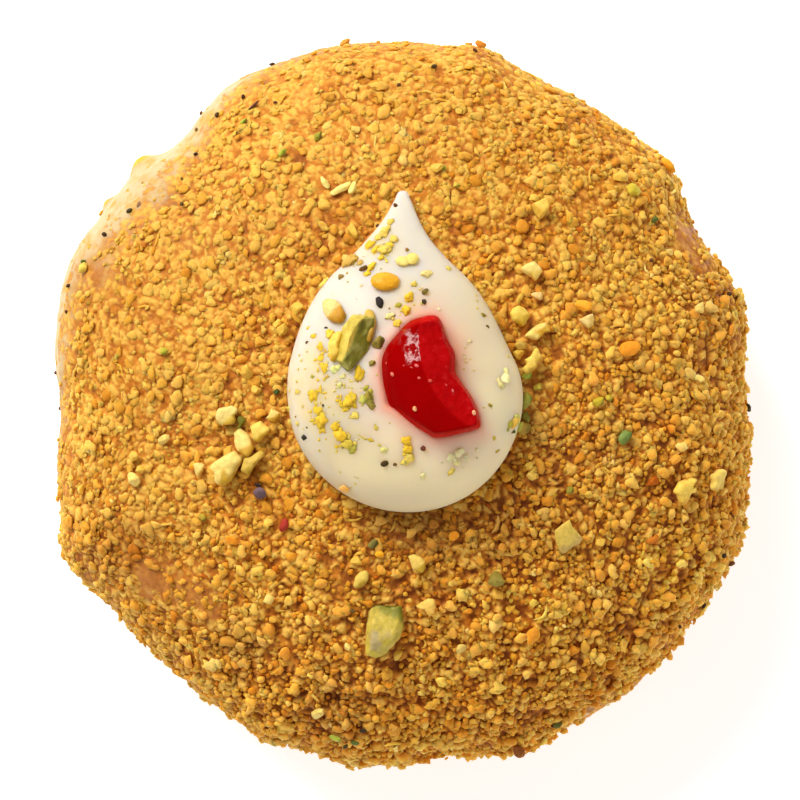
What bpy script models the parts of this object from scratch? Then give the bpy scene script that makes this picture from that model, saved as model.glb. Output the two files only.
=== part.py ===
"""Kadayif: a round domed pastry in a crumb coat, with a piped teardrop of cream, a piece of candied cherry and two larger pieces of pistachio.

The frame is the pastry's own: the origin is the middle of the flat base it rests on, +Z is up, and +Y is the way the cream's tail points.
Sizes below are in millimetres, and every object is made in metres.
"""

import math

import bmesh
import bpy
from mathutils import Matrix, Vector

MM = 0.001
GAP = 0.3  # air between two pieces that touch

# ---------------------------------------------------------------- the pastry
MEAN_RADIUS = 49.6  # of the outline seen from above
BELT_Z = 17.0  # height of the widest line
TOP_Z = 41.0  # height of the middle of the dome
DOME_POWER = 2.16  # superellipse of the dome: 2 is an ellipse, more is squarer
FOOT_SHARE = 0.80  # radius of the flat base, as a share of the outline
FOOT_POWER = 2.1  # superellipse of the side below the widest line
BUN_STEPS = 84  # round the pastry
DOME_RINGS = 17
SIDE_RINGS = 7

# Where the outline leaves a true circle: (bearing in degrees from +X, how far out in mm, half width in degrees).
# The dough was pressed flat in places by its neighbours on the tray, and bulges between them.
OUTLINE_LOBES = (
    (4, -2.3, 9),
    (30, -2.5, 9),
    (43, 0.6, 4),
    (57, -0.4, 12),
    (78, 1.6, 5),
    (88, 0.7, 6),
    (103, 1.3, 15),
    (118, 0.8, 6),
    (131, -1.4, 6),
    (157, 1.1, 8),
    (181, -1.7, 8),
    (204, 2.4, 7),
    (227, -0.6, 9),
    (247, 1.1, 4),
    (261, 0.9, 6),
    (277, -0.6, 4),
    (289, 1.3, 4),
    (312, 0.6, 18),
    (336, 0.7, 4),
    (350, -1.2, 7),
)

# Broad hollows and swellings of the baked dome: (x, y, height, half width), all in mm.
DOME_SWELLS = (
    (-33.0, -24.0, -0.9, 7.0),
    (-20.0, 26.0, 0.7, 11.0),
    (27.0, 18.0, -0.6, 10.0),
    (22.0, -24.0, 0.7, 12.0),
    (-30.0, 4.0, 0.5, 9.0),
    (4.0, -36.0, -0.5, 8.0),
    (8.0, 37.0, 0.5, 8.0),
)

# ---------------------------------------------------------------- the cream
CREAM_Y = 1.15  # middle of the round body
CREAM_R = 15.95
CREAM_H = 9.2  # height of the body over the pastry
CREAM_TAPER = 0.75  # how the height follows the width along the tail
CREAM_POWER = 2.2  # superellipse of a cross-section
CREAM_TUCK = 0.9  # how far the foot lies inside the widest line of the body
CREAM_LIP = 1.5  # height of that widest line over the pastry
TAIL_FROM = 5.0  # y where the tail starts to draw in
TIP_Y = 28.9
TIP_ROUND = 0.9
# The tail's half width by y: full at the body, hollow-sided where the nozzle was pulled away.
TAIL_WIDTH = ((5.0, 15.48), (10.4, 13.4), (14.1, 11.5), (17.0, 9.3), (19.2, 7.0), (21.7, 4.7), (24.6, 2.6), (28.0, 0.9))
# The crest's x by y: the tail leans a little to the left and its tip comes back.
CREST_X = ((-15.0, 0.7), (-6.0, 0.35), (2.0, 0.25), (9.0, -0.4), (16.8, -0.65), (22.1, -0.6), (25.6, -0.2), (28.9, 0.0))
CREAM_AROUND = 28
CREAM_ALONG = 34

# ---------------------------------------------------------------- the cherry
CHERRY_AT = (3.7, 4.0)
# Outline of the piece seen from above: (bearing in degrees, radius from CHERRY_AT in mm). It is cut straight along the
# lower left and the top, rounded by the skin on the left, and hollowed on the right where the stone lay.
CHERRY_OUTLINE = (
    (0, 3.35), (22, 3.5), (43, 4.3), (58, 4.75), (71, 5.75), (79, 7.2), (85, 7.75), (98, 7.65), (111, 7.5), (121, 7.2),
    (133, 6.85), (150, 6.85), (170, 6.75), (189, 6.7), (207, 7.0), (218, 7.45), (226, 7.1), (238, 7.05), (253, 7.4),
    (266, 8.05), (272, 8.6), (282, 8.75), (297, 9.05), (308, 9.65), (313, 9.75), (318, 8.85), (325, 7.3), (332, 5.9), (341, 4.5),
)
CHERRY_TOP = 6.4  # height of the ridge over the piece's own level
CHERRY_SUNK = 1.95  # how deep the piece is pressed into the cream
CHERRY_EDGE = 0.85  # width of the sloping band along the cut edges
# The piece leans: its top falls away towards the tail, by this slope between these two values of y.
CHERRY_LEAN = 0.30
CHERRY_LEAN_FROM, CHERRY_LEAN_TO = 5.0, 9.8
# The ridge between the skin and the cut face is an arc of this circle.
RIDGE_CENTRE = (15.6, 8.6)
RIDGE_R = 13.4
CHERRY_AROUND = 44
CHERRY_RINGS = 9

# ---------------------------------------------------------------- the pistachio pieces
# (node, x, y, length, width, thickness, bearing of the long axis, how much is chopped off its far end)
PISTACHIO = (
    ("pistachio_on_cream", -6.7, 8.3, 9.6, 4.5, 3.9, 64.0, 0.88),
    ("pistachio_on_crumbs", -2.8, -30.5, 8.8, 5.4, 3.0, 70.0, 0.84),
)


def bell(distance, half_width):
    return math.exp(-0.5 * (distance / (0.7 * half_width)) ** 2)


def turned(bearing, other):
    """The angle between two bearings, in degrees."""
    return (bearing - other + 180.0) % 360.0 - 180.0


def raw_outline(bearing):
    return MEAN_RADIUS + sum(out * bell(turned(bearing, at), wide) for at, out, wide in OUTLINE_LOBES)


def middle_of_outline():
    """The middle of the outline's bounding box, which the frame's Z axis runs through."""
    ring = [(raw_outline(a) * math.cos(math.radians(a)), raw_outline(a) * math.sin(math.radians(a))) for a in range(360)]
    return [(min(p[k] for p in ring) + max(p[k] for p in ring)) / 2 for k in (0, 1)]


MIDDLE = middle_of_outline()


def share_of(px, py):
    """How far out a point of the dome lies, from 0 in the middle to 1 at the outline. The outline's lobes fade towards the middle, with the square of this share."""
    radius = math.hypot(px, py)
    lobe = raw_outline(math.degrees(math.atan2(py, px))) / MEAN_RADIUS - 1.0
    share = radius / MEAN_RADIUS
    for _ in range(6):
        share = radius / (MEAN_RADIUS * (1.0 + lobe * share * share))
    return min(share, 1.0)


def swell(x, y):
    return sum(height * bell(math.hypot(x - cx, y - cy), wide) for cx, cy, height, wide in DOME_SWELLS)


def dome_z(x, y):
    """Height of the pastry's upper surface."""
    share = share_of(x + MIDDLE[0], y + MIDDLE[1])
    return BELT_Z + (TOP_Z - BELT_Z) * (1.0 - share**DOME_POWER) ** (1.0 / DOME_POWER) + swell(x, y) * (1.0 - share**6)


def smooth_through(stations, at):
    """A value between stations, on a cubic with the slopes of its neighbours."""
    if at <= stations[0][0]:
        return stations[0][1]
    if at >= stations[-1][0]:
        return stations[-1][1]
    k = max(i for i in range(len(stations) - 1) if stations[i][0] <= at)
    (x0, y0), (x1, y1) = stations[k], stations[k + 1]
    before = stations[max(k - 1, 0)]
    after = stations[min(k + 2, len(stations) - 1)]
    m0 = (y1 - before[1]) / (x1 - before[0])
    m1 = (after[1] - y0) / (after[0] - x0)
    width, t = x1 - x0, (at - x0) / (x1 - x0)
    return (
        (2 * t**3 - 3 * t**2 + 1) * y0
        + (t**3 - 2 * t**2 + t) * width * m0
        + (3 * t**2 - 2 * t**3) * y1
        + (t**3 - t**2) * width * m1
    )


def cream_width(y):
    """Half width of the cream at y: a circle below TAIL_FROM, the drawn tail above it, and a round tip."""
    if y <= TAIL_FROM:
        return math.sqrt(max(CREAM_R**2 - (y - CREAM_Y) ** 2, 0.0))
    wide = smooth_through(TAIL_WIDTH, y)
    past = (y - (TIP_Y - TIP_ROUND)) / TIP_ROUND
    return wide * math.sqrt(max(1.0 - past**2, 0.0)) if past > 0 else wide


def cream_height(y):
    return CREAM_H * (cream_width(y) / CREAM_R) ** CREAM_TAPER


def cream_z(x, y):
    """Height of the cream's upper surface, or of the pastry beside it."""
    wide = cream_width(y) if CREAM_Y - CREAM_R < y < TIP_Y else 0.0
    if wide <= 0.0:
        return dome_z(x, y)
    across = abs((x - smooth_through(CREST_X, y)) / wide)
    if across >= 1.0:
        return dome_z(x, y)
    return dome_z(x, y) + GAP + cream_height(y) * (1.0 - across**CREAM_POWER) ** (1.0 / CREAM_POWER)


def cherry_radius(bearing):
    ring = [(a - 360, r) for a, r in CHERRY_OUTLINE[-3:]] + list(CHERRY_OUTLINE) + [(a + 360, r) for a, r in CHERRY_OUTLINE[:3]]
    return smooth_through(ring, bearing % 360.0)


def cherry_top(x, y, share):
    """Height of the cherry's upper side over its own level: skin left of the ridge, the cut face right of it, and a sloping band along the edge."""
    past_ridge = math.hypot(x - RIDGE_CENTRE[0], y - RIDGE_CENTRE[1]) - RIDGE_R
    skin = CHERRY_TOP - 0.075 * max(past_ridge + 0.4, 0.0) ** 2.15
    cut = CHERRY_TOP - 0.28 * max(-past_ridge, 0.0)
    level = min(skin, cut)
    soft = 0.4
    level -= CHERRY_LEAN * soft * (math.log1p(math.exp((y - CHERRY_LEAN_FROM) / soft)) - math.log1p(math.exp((y - CHERRY_LEAN_TO) / soft)))
    at = math.degrees(math.atan2(y - CHERRY_AT[1], x - CHERRY_AT[0]))
    to_edge = (1.0 - share) * cherry_radius(at)
    band = max(1.0 - to_edge / CHERRY_EDGE, 0.0)
    return level * (1.0 - 0.42 * band**1.4)


def material(name, colour, roughness):
    made = bpy.data.materials.new(name)
    made.use_nodes = True
    shader = made.node_tree.nodes["Principled BSDF"]
    shader.inputs["Base Color"].default_value = (*colour, 1.0)
    shader.inputs["Roughness"].default_value = roughness
    shader.inputs["Metallic"].default_value = 0.0
    return made


def finish(obj, name, collection, look):
    """Names the object, gives it its material and smooth shading, and files it."""
    obj.name = obj.data.name = name
    obj.data.materials.clear()
    obj.data.materials.append(look)
    obj.data.shade_smooth()
    obj.data.set_sharp_from_angle(angle=math.radians(40))
    for other in list(obj.users_collection):
        other.objects.unlink(obj)
    collection.objects.link(obj)
    return obj


def turned_profile(name, points, steps):
    """A profile in the XZ plane, from the axis at the top down its outer side to the axis at the base, turned round Z."""
    mesh = bpy.data.meshes.new(name)
    mesh.from_pydata([(x * MM, 0.0, z * MM) for x, z in points], [(i, i + 1) for i in range(len(points) - 1)], [])
    obj = bpy.data.objects.new(name, mesh)
    bpy.context.scene.collection.objects.link(obj)
    screw = obj.modifiers.new("Turn", "SCREW")
    screw.steps = screw.render_steps = steps
    screw.use_merge_vertices = True
    screw.merge_threshold = 0.00001
    bpy.context.view_layer.objects.active = obj
    bpy.ops.object.modifier_apply(modifier=screw.name)
    return obj


def make_bun(collection, look):
    """The turned profile of the pastry, then each ring drawn out towards the uneven outline and the dome raised and sunk by its swells."""
    rim = [math.radians(90.0 * k / DOME_RINGS) for k in range(DOME_RINGS + 1)]
    dome = [
        (
            MEAN_RADIUS * math.sin(a) ** (2.0 / DOME_POWER),
            BELT_Z + (TOP_Z - BELT_Z) * max(math.cos(a), 0.0) ** (2.0 / DOME_POWER),
        )
        for a in rim
    ]
    below = [math.radians(90.0 * k / SIDE_RINGS) for k in range(1, SIDE_RINGS + 1)]
    side = [
        (
            MEAN_RADIUS * (FOOT_SHARE + (1.0 - FOOT_SHARE) * max(math.cos(a), 0.0) ** (2.0 / FOOT_POWER)),
            BELT_Z * (1.0 - math.sin(a) ** (2.0 / FOOT_POWER)),
        )
        for a in below
    ]
    side[-1] = (side[-1][0], 0.0)
    bun = turned_profile("bun", [(0.0, TOP_Z)] + dome[1:] + side + [(0.0, 0.0)], BUN_STEPS)
    for vertex in bun.data.vertices:
        x, y, z = (c / MM for c in vertex.co)
        share = math.hypot(x, y) / MEAN_RADIUS
        lobe = raw_outline(math.degrees(math.atan2(y, x))) / MEAN_RADIUS - 1.0
        grown = 1.0 + lobe * share * share
        x, y = x * grown - MIDDLE[0], y * grown - MIDDLE[1]
        if z > BELT_Z - 0.01:
            z += swell(x, y) * (1.0 - min(share, 1.0) ** 6)
        vertex.co = (x * MM, y * MM, z * MM)
    return finish(bun, "bun", collection, look)


def sphere(name, around, rings, turn=None):
    bpy.ops.mesh.primitive_uv_sphere_add(segments=around, ring_count=rings, radius=1.0)
    obj = bpy.context.object
    obj.name = name
    if turn is not None:
        obj.data.transform(turn)
    return obj


def make_cream(collection, look):
    """A sphere with its poles at the tip and the far end, each ring drawn to the teardrop's cross-section there, with its underside lying on the dome."""
    cream = sphere("cream", CREAM_AROUND, CREAM_ALONG, Matrix.Rotation(math.radians(-90.0), 4, "X"))
    low = CREAM_Y - CREAM_R
    for vertex in cream.data.vertices:
        along, u, v = vertex.co.y, vertex.co.x, vertex.co.z
        y = low + (TIP_Y - low) * (along + 1.0) / 2.0
        ring = math.hypot(u, v)
        wide = cream_width(y)
        if ring < 1e-6:
            x = smooth_through(CREST_X, y)
            vertex.co = (x * MM, y * MM, (dome_z(x, y) + GAP + 0.25) * MM)
            continue
        u, v = u / ring, v / ring
        tall = cream_height(y)
        lip = min(CREAM_LIP, 0.35 * tall)
        if v >= 0.0:
            x = smooth_through(CREST_X, y) + wide * u
            z = dome_z(x, y) + GAP + lip + (tall - lip) * (1.0 - abs(u) ** CREAM_POWER) ** (1.0 / CREAM_POWER)
        else:
            tuck = min(CREAM_TUCK, 0.3 * wide) * min(abs(v) * 4.0, 1.0)
            x = smooth_through(CREST_X, y) + (wide - tuck) * u
            z = dome_z(x, y) + GAP + lip * max(1.0 - abs(v) * 4.0, 0.0)
        vertex.co = (x * MM, y * MM, z * MM)
    return finish(cream, "cream", collection, look)


def cherry_level():
    """Height of the cherry's own level: its middle lies on the cream, pressed in by CHERRY_SUNK."""
    return cream_z(*CHERRY_AT) - CHERRY_SUNK


def make_cherry(collection, look, grow=0.0):
    """A sphere whose upper half becomes the skin, the cut face and the band round them, and whose lower half becomes the rounded underside.
    grow makes it larger all round, for the hollow it presses into the cream."""
    cherry = sphere("cherry" if not grow else "cherry_hollow", CHERRY_AROUND, 2 * CHERRY_RINGS)
    level = cherry_level()
    for vertex in cherry.data.vertices:
        direction = vertex.co.normalized()
        bearing = math.degrees(math.atan2(direction.y, direction.x))
        share = math.sin(math.acos(max(-1.0, min(1.0, direction.z))))
        share = share ** (0.62 if direction.z >= 0 else 0.8)
        reach = share * cherry_radius(bearing)
        x = CHERRY_AT[0] + reach * math.cos(math.radians(bearing))
        y = CHERRY_AT[1] + reach * math.sin(math.radians(bearing))
        if direction.z >= -1e-6:
            z = level + cherry_top(x, y, share)
        else:
            z = level - 1.0 * (1.0 - share**3) + cherry_top(x, y, 1.0) * 0.55 * share**6
        if grow:
            x += grow * share * math.cos(math.radians(bearing))
            y += grow * share * math.sin(math.radians(bearing))
            z += 6.0 * grow if direction.z >= -1e-6 else -grow
        vertex.co = (x * MM, y * MM, z * MM)
    return finish(cherry, cherry.name, collection, look)


def press_in(body, hollow):
    cut = body.modifiers.new("Hollow", "BOOLEAN")
    cut.operation = "DIFFERENCE"
    cut.solver = "EXACT"
    cut.object = hollow


def make_pistachio(collection, look, name, at_x, at_y, length, wide, thick, bearing, kept):
    """A kernel: a sphere drawn out to a pointed oval, chopped across its far end, lying on what carries it."""
    kernel = sphere(name, 20, 14, Matrix.Rotation(math.radians(90.0), 4, "Y"))
    for vertex in kernel.data.vertices:
        along, across, up = vertex.co
        pinch = 1.0 - 0.22 * along * along
        vertex.co = (along * length / 2, across * pinch * wide / 2, up * pinch * thick / 2)
    shape = bmesh.new()
    shape.from_mesh(kernel.data)
    chop = (2.0 * kept - 1.0) * length / 2
    for point, normal in (((chop, 0, 0), (1.0, 0.35, 0.25)), ((0, wide * 0.34, 0), (-0.25, 1.0, 0.5))):
        whole = shape.verts[:] + shape.edges[:] + shape.faces[:]
        bmesh.ops.bisect_plane(shape, geom=whole, plane_co=point, plane_no=Vector(normal).normalized(), clear_outer=True, dist=0.02)
        bmesh.ops.holes_fill(shape, edges=[e for e in shape.edges if e.is_boundary])
    bmesh.ops.recalc_face_normals(shape, faces=shape.faces[:])
    shape.to_mesh(kernel.data)
    shape.free()
    turn = Matrix.Rotation(math.radians(bearing), 4, "Z")
    for vertex in kernel.data.vertices:
        point = turn @ vertex.co
        x, y = at_x + point.x, at_y + point.y
        carried = cream_z(x, y)
        middle = cream_z(at_x, at_y)
        z = max(middle + 0.30 * thick + point.z, carried + GAP)
        vertex.co = (x * MM, y * MM, z * MM)
    return finish(kernel, name, collection, look)


def main():
    for obj in list(bpy.data.objects):
        bpy.data.objects.remove(obj, do_unlink=True)
    scene = bpy.context.scene
    scene.unit_settings.system = "METRIC"
    pieces = bpy.data.collections.new("kadayif")
    cutters = bpy.data.collections.new("cutters")
    scene.collection.children.link(pieces)
    scene.collection.children.link(cutters)

    crust = material("crumb_crust", (0.62, 0.33, 0.09), 0.75)
    whipped = material("cream_white", (0.90, 0.83, 0.66), 0.4)
    candied = material("cherry_red", (0.42, 0.005, 0.005), 0.15)
    green = material("pistachio_green", (0.52, 0.47, 0.14), 0.6)

    make_bun(pieces, crust)
    cream = make_cream(pieces, whipped)
    make_cherry(pieces, candied)
    hollow = make_cherry(cutters, candied, grow=GAP)
    hollow.hide_render = True
    hollow.display_type = "WIRE"
    press_in(cream, hollow)
    for kernel in PISTACHIO:
        make_pistachio(pieces, green, *kernel)


main()
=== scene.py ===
"""The looks of the kadayif: its crust and dough, the coat of toasted crumbs, the cream, the cherry, the nuts and the dust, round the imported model.

Lengths are in millimetres in the shape code and become metres when a mesh is made. The shape functions repeat the CAD model's sizes, so that each fine piece lies where the node it stands for lies.
"""

import math

import bpy
import numpy as np
from mathutils.bvhtree import BVHTree
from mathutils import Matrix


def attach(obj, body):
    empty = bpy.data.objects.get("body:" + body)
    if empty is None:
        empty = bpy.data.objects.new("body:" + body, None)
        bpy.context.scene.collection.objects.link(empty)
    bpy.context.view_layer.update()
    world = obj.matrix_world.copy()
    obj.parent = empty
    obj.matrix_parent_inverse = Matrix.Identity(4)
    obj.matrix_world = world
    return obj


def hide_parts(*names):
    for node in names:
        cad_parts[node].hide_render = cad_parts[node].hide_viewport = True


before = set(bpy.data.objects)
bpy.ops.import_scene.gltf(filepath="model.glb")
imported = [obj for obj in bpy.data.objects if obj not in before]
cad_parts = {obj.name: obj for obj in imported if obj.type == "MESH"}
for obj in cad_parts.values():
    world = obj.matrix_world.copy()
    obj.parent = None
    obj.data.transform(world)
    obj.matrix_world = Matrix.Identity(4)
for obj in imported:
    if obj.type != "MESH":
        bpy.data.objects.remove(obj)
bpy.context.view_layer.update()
MM = 0.001
GAP = 0.3
rng = np.random.default_rng(20)

# ------------------------------------------------------------------ the CAD model's sizes
MEAN_RADIUS = 49.6
BELT_Z = 17.0
TOP_Z = 41.0
DOME_POWER = 2.16
FOOT_SHARE = 0.80
FOOT_POWER = 2.1
OUTLINE_LOBES = (
    (4, -2.3, 9), (30, -2.5, 9), (43, 0.6, 4), (57, -0.4, 12), (78, 1.6, 5), (88, 0.7, 6), (103, 1.3, 15),
    (118, 0.8, 6), (131, -1.4, 6), (157, 1.1, 8), (181, -1.7, 8), (204, 2.4, 7), (227, -0.6, 9), (247, 1.1, 4),
    (261, 0.9, 6), (277, -0.6, 4), (289, 1.3, 4), (312, 0.6, 18), (336, 0.7, 4), (350, -1.2, 7),
)
DOME_SWELLS = (
    (-33.0, -24.0, -0.9, 7.0), (-20.0, 26.0, 0.7, 11.0), (27.0, 18.0, -0.6, 10.0), (22.0, -24.0, 0.7, 12.0),
    (-30.0, 4.0, 0.5, 9.0), (4.0, -36.0, -0.5, 8.0), (8.0, 37.0, 0.5, 8.0),
)
CREAM_Y = 1.15
CREAM_R = 15.95
CREAM_H = 9.2
CREAM_TAPER = 0.75
CREAM_POWER = 2.2
CREAM_TUCK = 0.9
CREAM_LIP = 1.5
TAIL_FROM = 5.0
TIP_Y = 28.9
TIP_ROUND = 0.9
TAIL_WIDTH = ((5.0, 15.48), (10.4, 13.4), (14.1, 11.5), (17.0, 9.3), (19.2, 7.0), (21.7, 4.7), (24.6, 2.6), (28.0, 0.9))
CREST_X = ((-15.0, 0.7), (-6.0, 0.35), (2.0, 0.25), (9.0, -0.4), (16.8, -0.65), (22.1, -0.6), (25.6, -0.2), (28.9, 0.0))
CHERRY_AT = (3.7, 4.0)
CHERRY_OUTLINE = (
    (0, 3.35), (22, 3.5), (43, 4.3), (58, 4.75), (71, 5.75), (79, 7.2), (85, 7.75), (98, 7.65), (111, 7.5), (121, 7.2),
    (133, 6.85), (150, 6.85), (170, 6.75), (189, 6.7), (207, 7.0), (218, 7.45), (226, 7.1), (238, 7.05), (253, 7.4), (266, 8.05),
    (272, 8.6), (282, 8.75), (297, 9.05), (308, 9.65), (313, 9.75), (318, 8.85), (325, 7.3), (332, 5.9), (341, 4.5),
)
CHERRY_TOP = 6.4
CHERRY_SUNK = 1.95
CHERRY_EDGE = 0.85
RIDGE_CENTRE = (15.6, 8.6)
RIDGE_R = 13.4
CHERRY_LEAN = 0.30
CHERRY_LEAN_FROM, CHERRY_LEAN_TO = 5.0, 9.8

# ------------------------------------------------------------------ the view: straight down, 7.2 px to the millimetre at the widest line
VIEW_MM = 1000.0  # from the camera to the widest line
PX_MM = 7.2
CAM_X, CAM_Y = -0.417, 0.417


# ------------------------------------------------------------------ noise
def lattice(ix, iy, iz, seed):
    """A number from 0 to 1 for each whole-number point, always the same one."""
    h = (ix.astype(np.int64) * 73856093) ^ (iy.astype(np.int64) * 19349663) ^ (iz.astype(np.int64) * 83492791) ^ (seed * 2654435761)
    h = h & 0xFFFFFFFF
    h = ((h ^ (h >> 15)) * 2246822519) & 0xFFFFFFFF
    h = ((h ^ (h >> 13)) * 3266489917) & 0xFFFFFFFF
    return ((h ^ (h >> 16)) & 0xFFFFFF) / float(0xFFFFFF)


def noise(points, size, seed=0):
    """Smooth noise from -1 to 1 whose features are about size across."""
    p = np.asarray(points, float) / size
    low = np.floor(p).astype(np.int64)
    f = p - low
    f = f * f * f * (f * (6 * f - 15) + 10)
    total = np.zeros(len(p))
    for dx in (0, 1):
        for dy in (0, 1):
            for dz in (0, 1):
                w = (
                    (f[:, 0] if dx else 1 - f[:, 0])
                    * (f[:, 1] if dy else 1 - f[:, 1])
                    * (f[:, 2] if dz else 1 - f[:, 2])
                )
                total += w * lattice(low[:, 0] + dx, low[:, 1] + dy, low[:, 2] + dz, seed)
    return 2 * total - 1


def layered(points, size, seed=0, layers=3):
    return sum(noise(points, size / 2**k, seed + 17 * k) / 2**k for k in range(layers)) / (2 - 2 ** (1 - layers))


def cells(points, size, seed=0):
    """(distance to the nearest cell centre in cell sizes, a number for that cell)."""
    p = np.asarray(points, float) / size
    low = np.floor(p).astype(np.int64)
    best = np.full(len(p), 9.0)
    who = np.zeros(len(p))
    for dx in (-1, 0, 1):
        for dy in (-1, 0, 1):
            for dz in (-1, 0, 1):
                c = low + np.array([dx, dy, dz])
                at = c + np.stack([lattice(c[:, 0], c[:, 1], c[:, 2], seed + k) for k in (1, 2, 3)], 1)
                d = np.linalg.norm(p - at, axis=1)
                near = d < best
                best = np.where(near, d, best)
                who = np.where(near, lattice(c[:, 0], c[:, 1], c[:, 2], seed + 5), who)
    return best, who


def two_cells(points, size, seed=0):
    """(distance to the nearest cell centre, and to the next one, in cell sizes, and a number for the nearest cell)."""
    p = np.asarray(points, float) / size
    low = np.floor(p).astype(np.int64)
    first, second = np.full(len(p), 9.0), np.full(len(p), 9.0)
    who = np.zeros(len(p))
    for dx in (-1, 0, 1):
        for dy in (-1, 0, 1):
            for dz in (-1, 0, 1):
                c = low + np.array([dx, dy, dz])
                at = c + np.stack([lattice(c[:, 0], c[:, 1], c[:, 2], seed + k) for k in (1, 2, 3)], 1)
                d = np.sqrt(((p - at) ** 2).sum(1))
                near = d < first
                second = np.where(near, first, np.minimum(second, d))
                first = np.where(near, d, first)
                who = np.where(near, lattice(c[:, 0], c[:, 1], c[:, 2], seed + 5), who)
    return first, second, who


def step(low, high, x):
    t = np.clip((x - low) / (high - low), 0.0, 1.0)
    return t * t * (3 - 2 * t)


def bell(distance, half_width):
    return np.exp(-0.5 * (distance / (0.7 * half_width)) ** 2)


def turned(bearing, other):
    return (bearing - other + 180.0) % 360.0 - 180.0


def smooth_through(stations, at):
    """Values between stations, on a cubic with the slopes of its neighbours."""
    xs, ys = np.array(stations, float).T
    at = np.clip(np.asarray(at, float), xs[0], xs[-1])
    k = np.clip(np.searchsorted(xs, at, side="right") - 1, 0, len(xs) - 2)
    before, after = np.maximum(k - 1, 0), np.minimum(k + 2, len(xs) - 1)
    m0 = (ys[k + 1] - ys[before]) / (xs[k + 1] - xs[before])
    m1 = (ys[after] - ys[k]) / (xs[after] - xs[k])
    width = xs[k + 1] - xs[k]
    t = (at - xs[k]) / width
    return (
        (2 * t**3 - 3 * t**2 + 1) * ys[k]
        + (t**3 - 2 * t**2 + t) * width * m0
        + (3 * t**2 - 2 * t**3) * ys[k + 1]
        + (t**3 - t**2) * width * m1
    )


# ------------------------------------------------------------------ the pastry's surface
def raw_outline(bearing):
    return MEAN_RADIUS + sum(out * bell(turned(bearing, at), wide) for at, out, wide in OUTLINE_LOBES)


_ring = np.arange(360.0)
_ring_xy = raw_outline(_ring) * np.stack([np.cos(np.radians(_ring)), np.sin(np.radians(_ring))])
MIDDLE = (_ring_xy.min(1) + _ring_xy.max(1)) / 2


def swell(x, y):
    return sum(height * bell(np.hypot(x - cx, y - cy), wide) for cx, cy, height, wide in DOME_SWELLS)


def profile():
    """(distance along the surface from the top, radius, height) down the dome and the side to the foot."""
    a = np.radians(np.linspace(0.0, 90.0, 1201))
    dome = np.stack([
        MEAN_RADIUS * np.sin(a) ** (2 / DOME_POWER),
        BELT_Z + (TOP_Z - BELT_Z) * np.maximum(np.cos(a), 0) ** (2 / DOME_POWER),
    ])
    side = np.stack([
        MEAN_RADIUS * (FOOT_SHARE + (1 - FOOT_SHARE) * np.maximum(np.cos(a), 0) ** (2 / FOOT_POWER)),
        BELT_Z * (1 - np.sin(a) ** (2 / FOOT_POWER)),
    ])
    r, z = np.concatenate([dome, side[:, 1:]], 1)
    s = np.concatenate([[0.0], np.cumsum(np.hypot(np.diff(r), np.diff(z)))])
    return s, r, z


PROFILE_S, PROFILE_R, PROFILE_Z = profile()
BELT_S = PROFILE_S[1200]
FOOT_S = PROFILE_S[-1]


def surface(s, theta):
    """Points of the pastry's surface, s mm from the top along it, at the angle theta."""
    r = np.interp(s, PROFILE_S, PROFILE_R)
    z = np.interp(s, PROFILE_S, PROFILE_Z)
    share = r / MEAN_RADIUS
    grown = r * (1.0 + (raw_outline(np.degrees(theta)) / MEAN_RADIUS - 1.0) * share**2)
    x, y = grown * np.cos(theta) - MIDDLE[0], grown * np.sin(theta) - MIDDLE[1]
    z = z + np.where(s <= BELT_S, swell(x, y) * (1.0 - np.minimum(share, 1.0) ** 6), 0.0)
    return np.stack([x, y, z], -1)


def surface_normal(s, theta):
    s = np.clip(s, 0.3, FOOT_S - 0.2)
    along = surface(s + 0.15, theta) - surface(s - 0.15, theta)
    turn = 0.2 / np.maximum(np.interp(s, PROFILE_S, PROFILE_R), 1.0)
    around = surface(s, theta + turn) - surface(s, theta - turn)
    n = np.cross(along, around)
    return n / np.linalg.norm(n, axis=-1, keepdims=True)


def share_at(x, y):
    px, py = x + MIDDLE[0], y + MIDDLE[1]
    radius = np.hypot(px, py)
    lobe = raw_outline(np.degrees(np.arctan2(py, px))) / MEAN_RADIUS - 1.0
    share = radius / MEAN_RADIUS
    for _ in range(8):
        share = radius / (MEAN_RADIUS * (1.0 + lobe * share**2))
    return share


def dome_z(x, y):
    share = np.minimum(share_at(x, y), 1.0)
    return BELT_Z + (TOP_Z - BELT_Z) * (1.0 - share**DOME_POWER) ** (1.0 / DOME_POWER) + swell(x, y) * (1.0 - share**6)


def dome_place(x, y, most=0.985):
    """(s, theta) of the dome under the point (x, y), kept inside the outline."""
    theta = np.arctan2(y + MIDDLE[1], x + MIDDLE[0])
    share = np.minimum(share_at(x, y), most)
    return np.interp(share * MEAN_RADIUS, PROFILE_R[:1201], PROFILE_S[:1201]), theta


# ------------------------------------------------------------------ the cream's and the cherry's surfaces
def cream_width(y):
    y = np.asarray(y, float)
    body = np.sqrt(np.maximum(CREAM_R**2 - (y - CREAM_Y) ** 2, 0.0))
    past = np.clip((y - (TIP_Y - TIP_ROUND)) / TIP_ROUND, 0.0, 1.0)
    tail = smooth_through(TAIL_WIDTH, y) * np.sqrt(1.0 - past**2)
    return np.where(y <= TAIL_FROM, body, tail)


def cream_height(y):
    return CREAM_H * (cream_width(y) / CREAM_R) ** CREAM_TAPER


def cream_across(x, y):
    """How far from the crest towards the edge: 0 to 1, and more beside the cream."""
    inside = (y > CREAM_Y - CREAM_R) & (y < TIP_Y)
    wide = np.where(inside, np.maximum(cream_width(y), 1e-3), 1e-3)
    return np.abs((x - smooth_through(CREST_X, y)) / wide)


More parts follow.
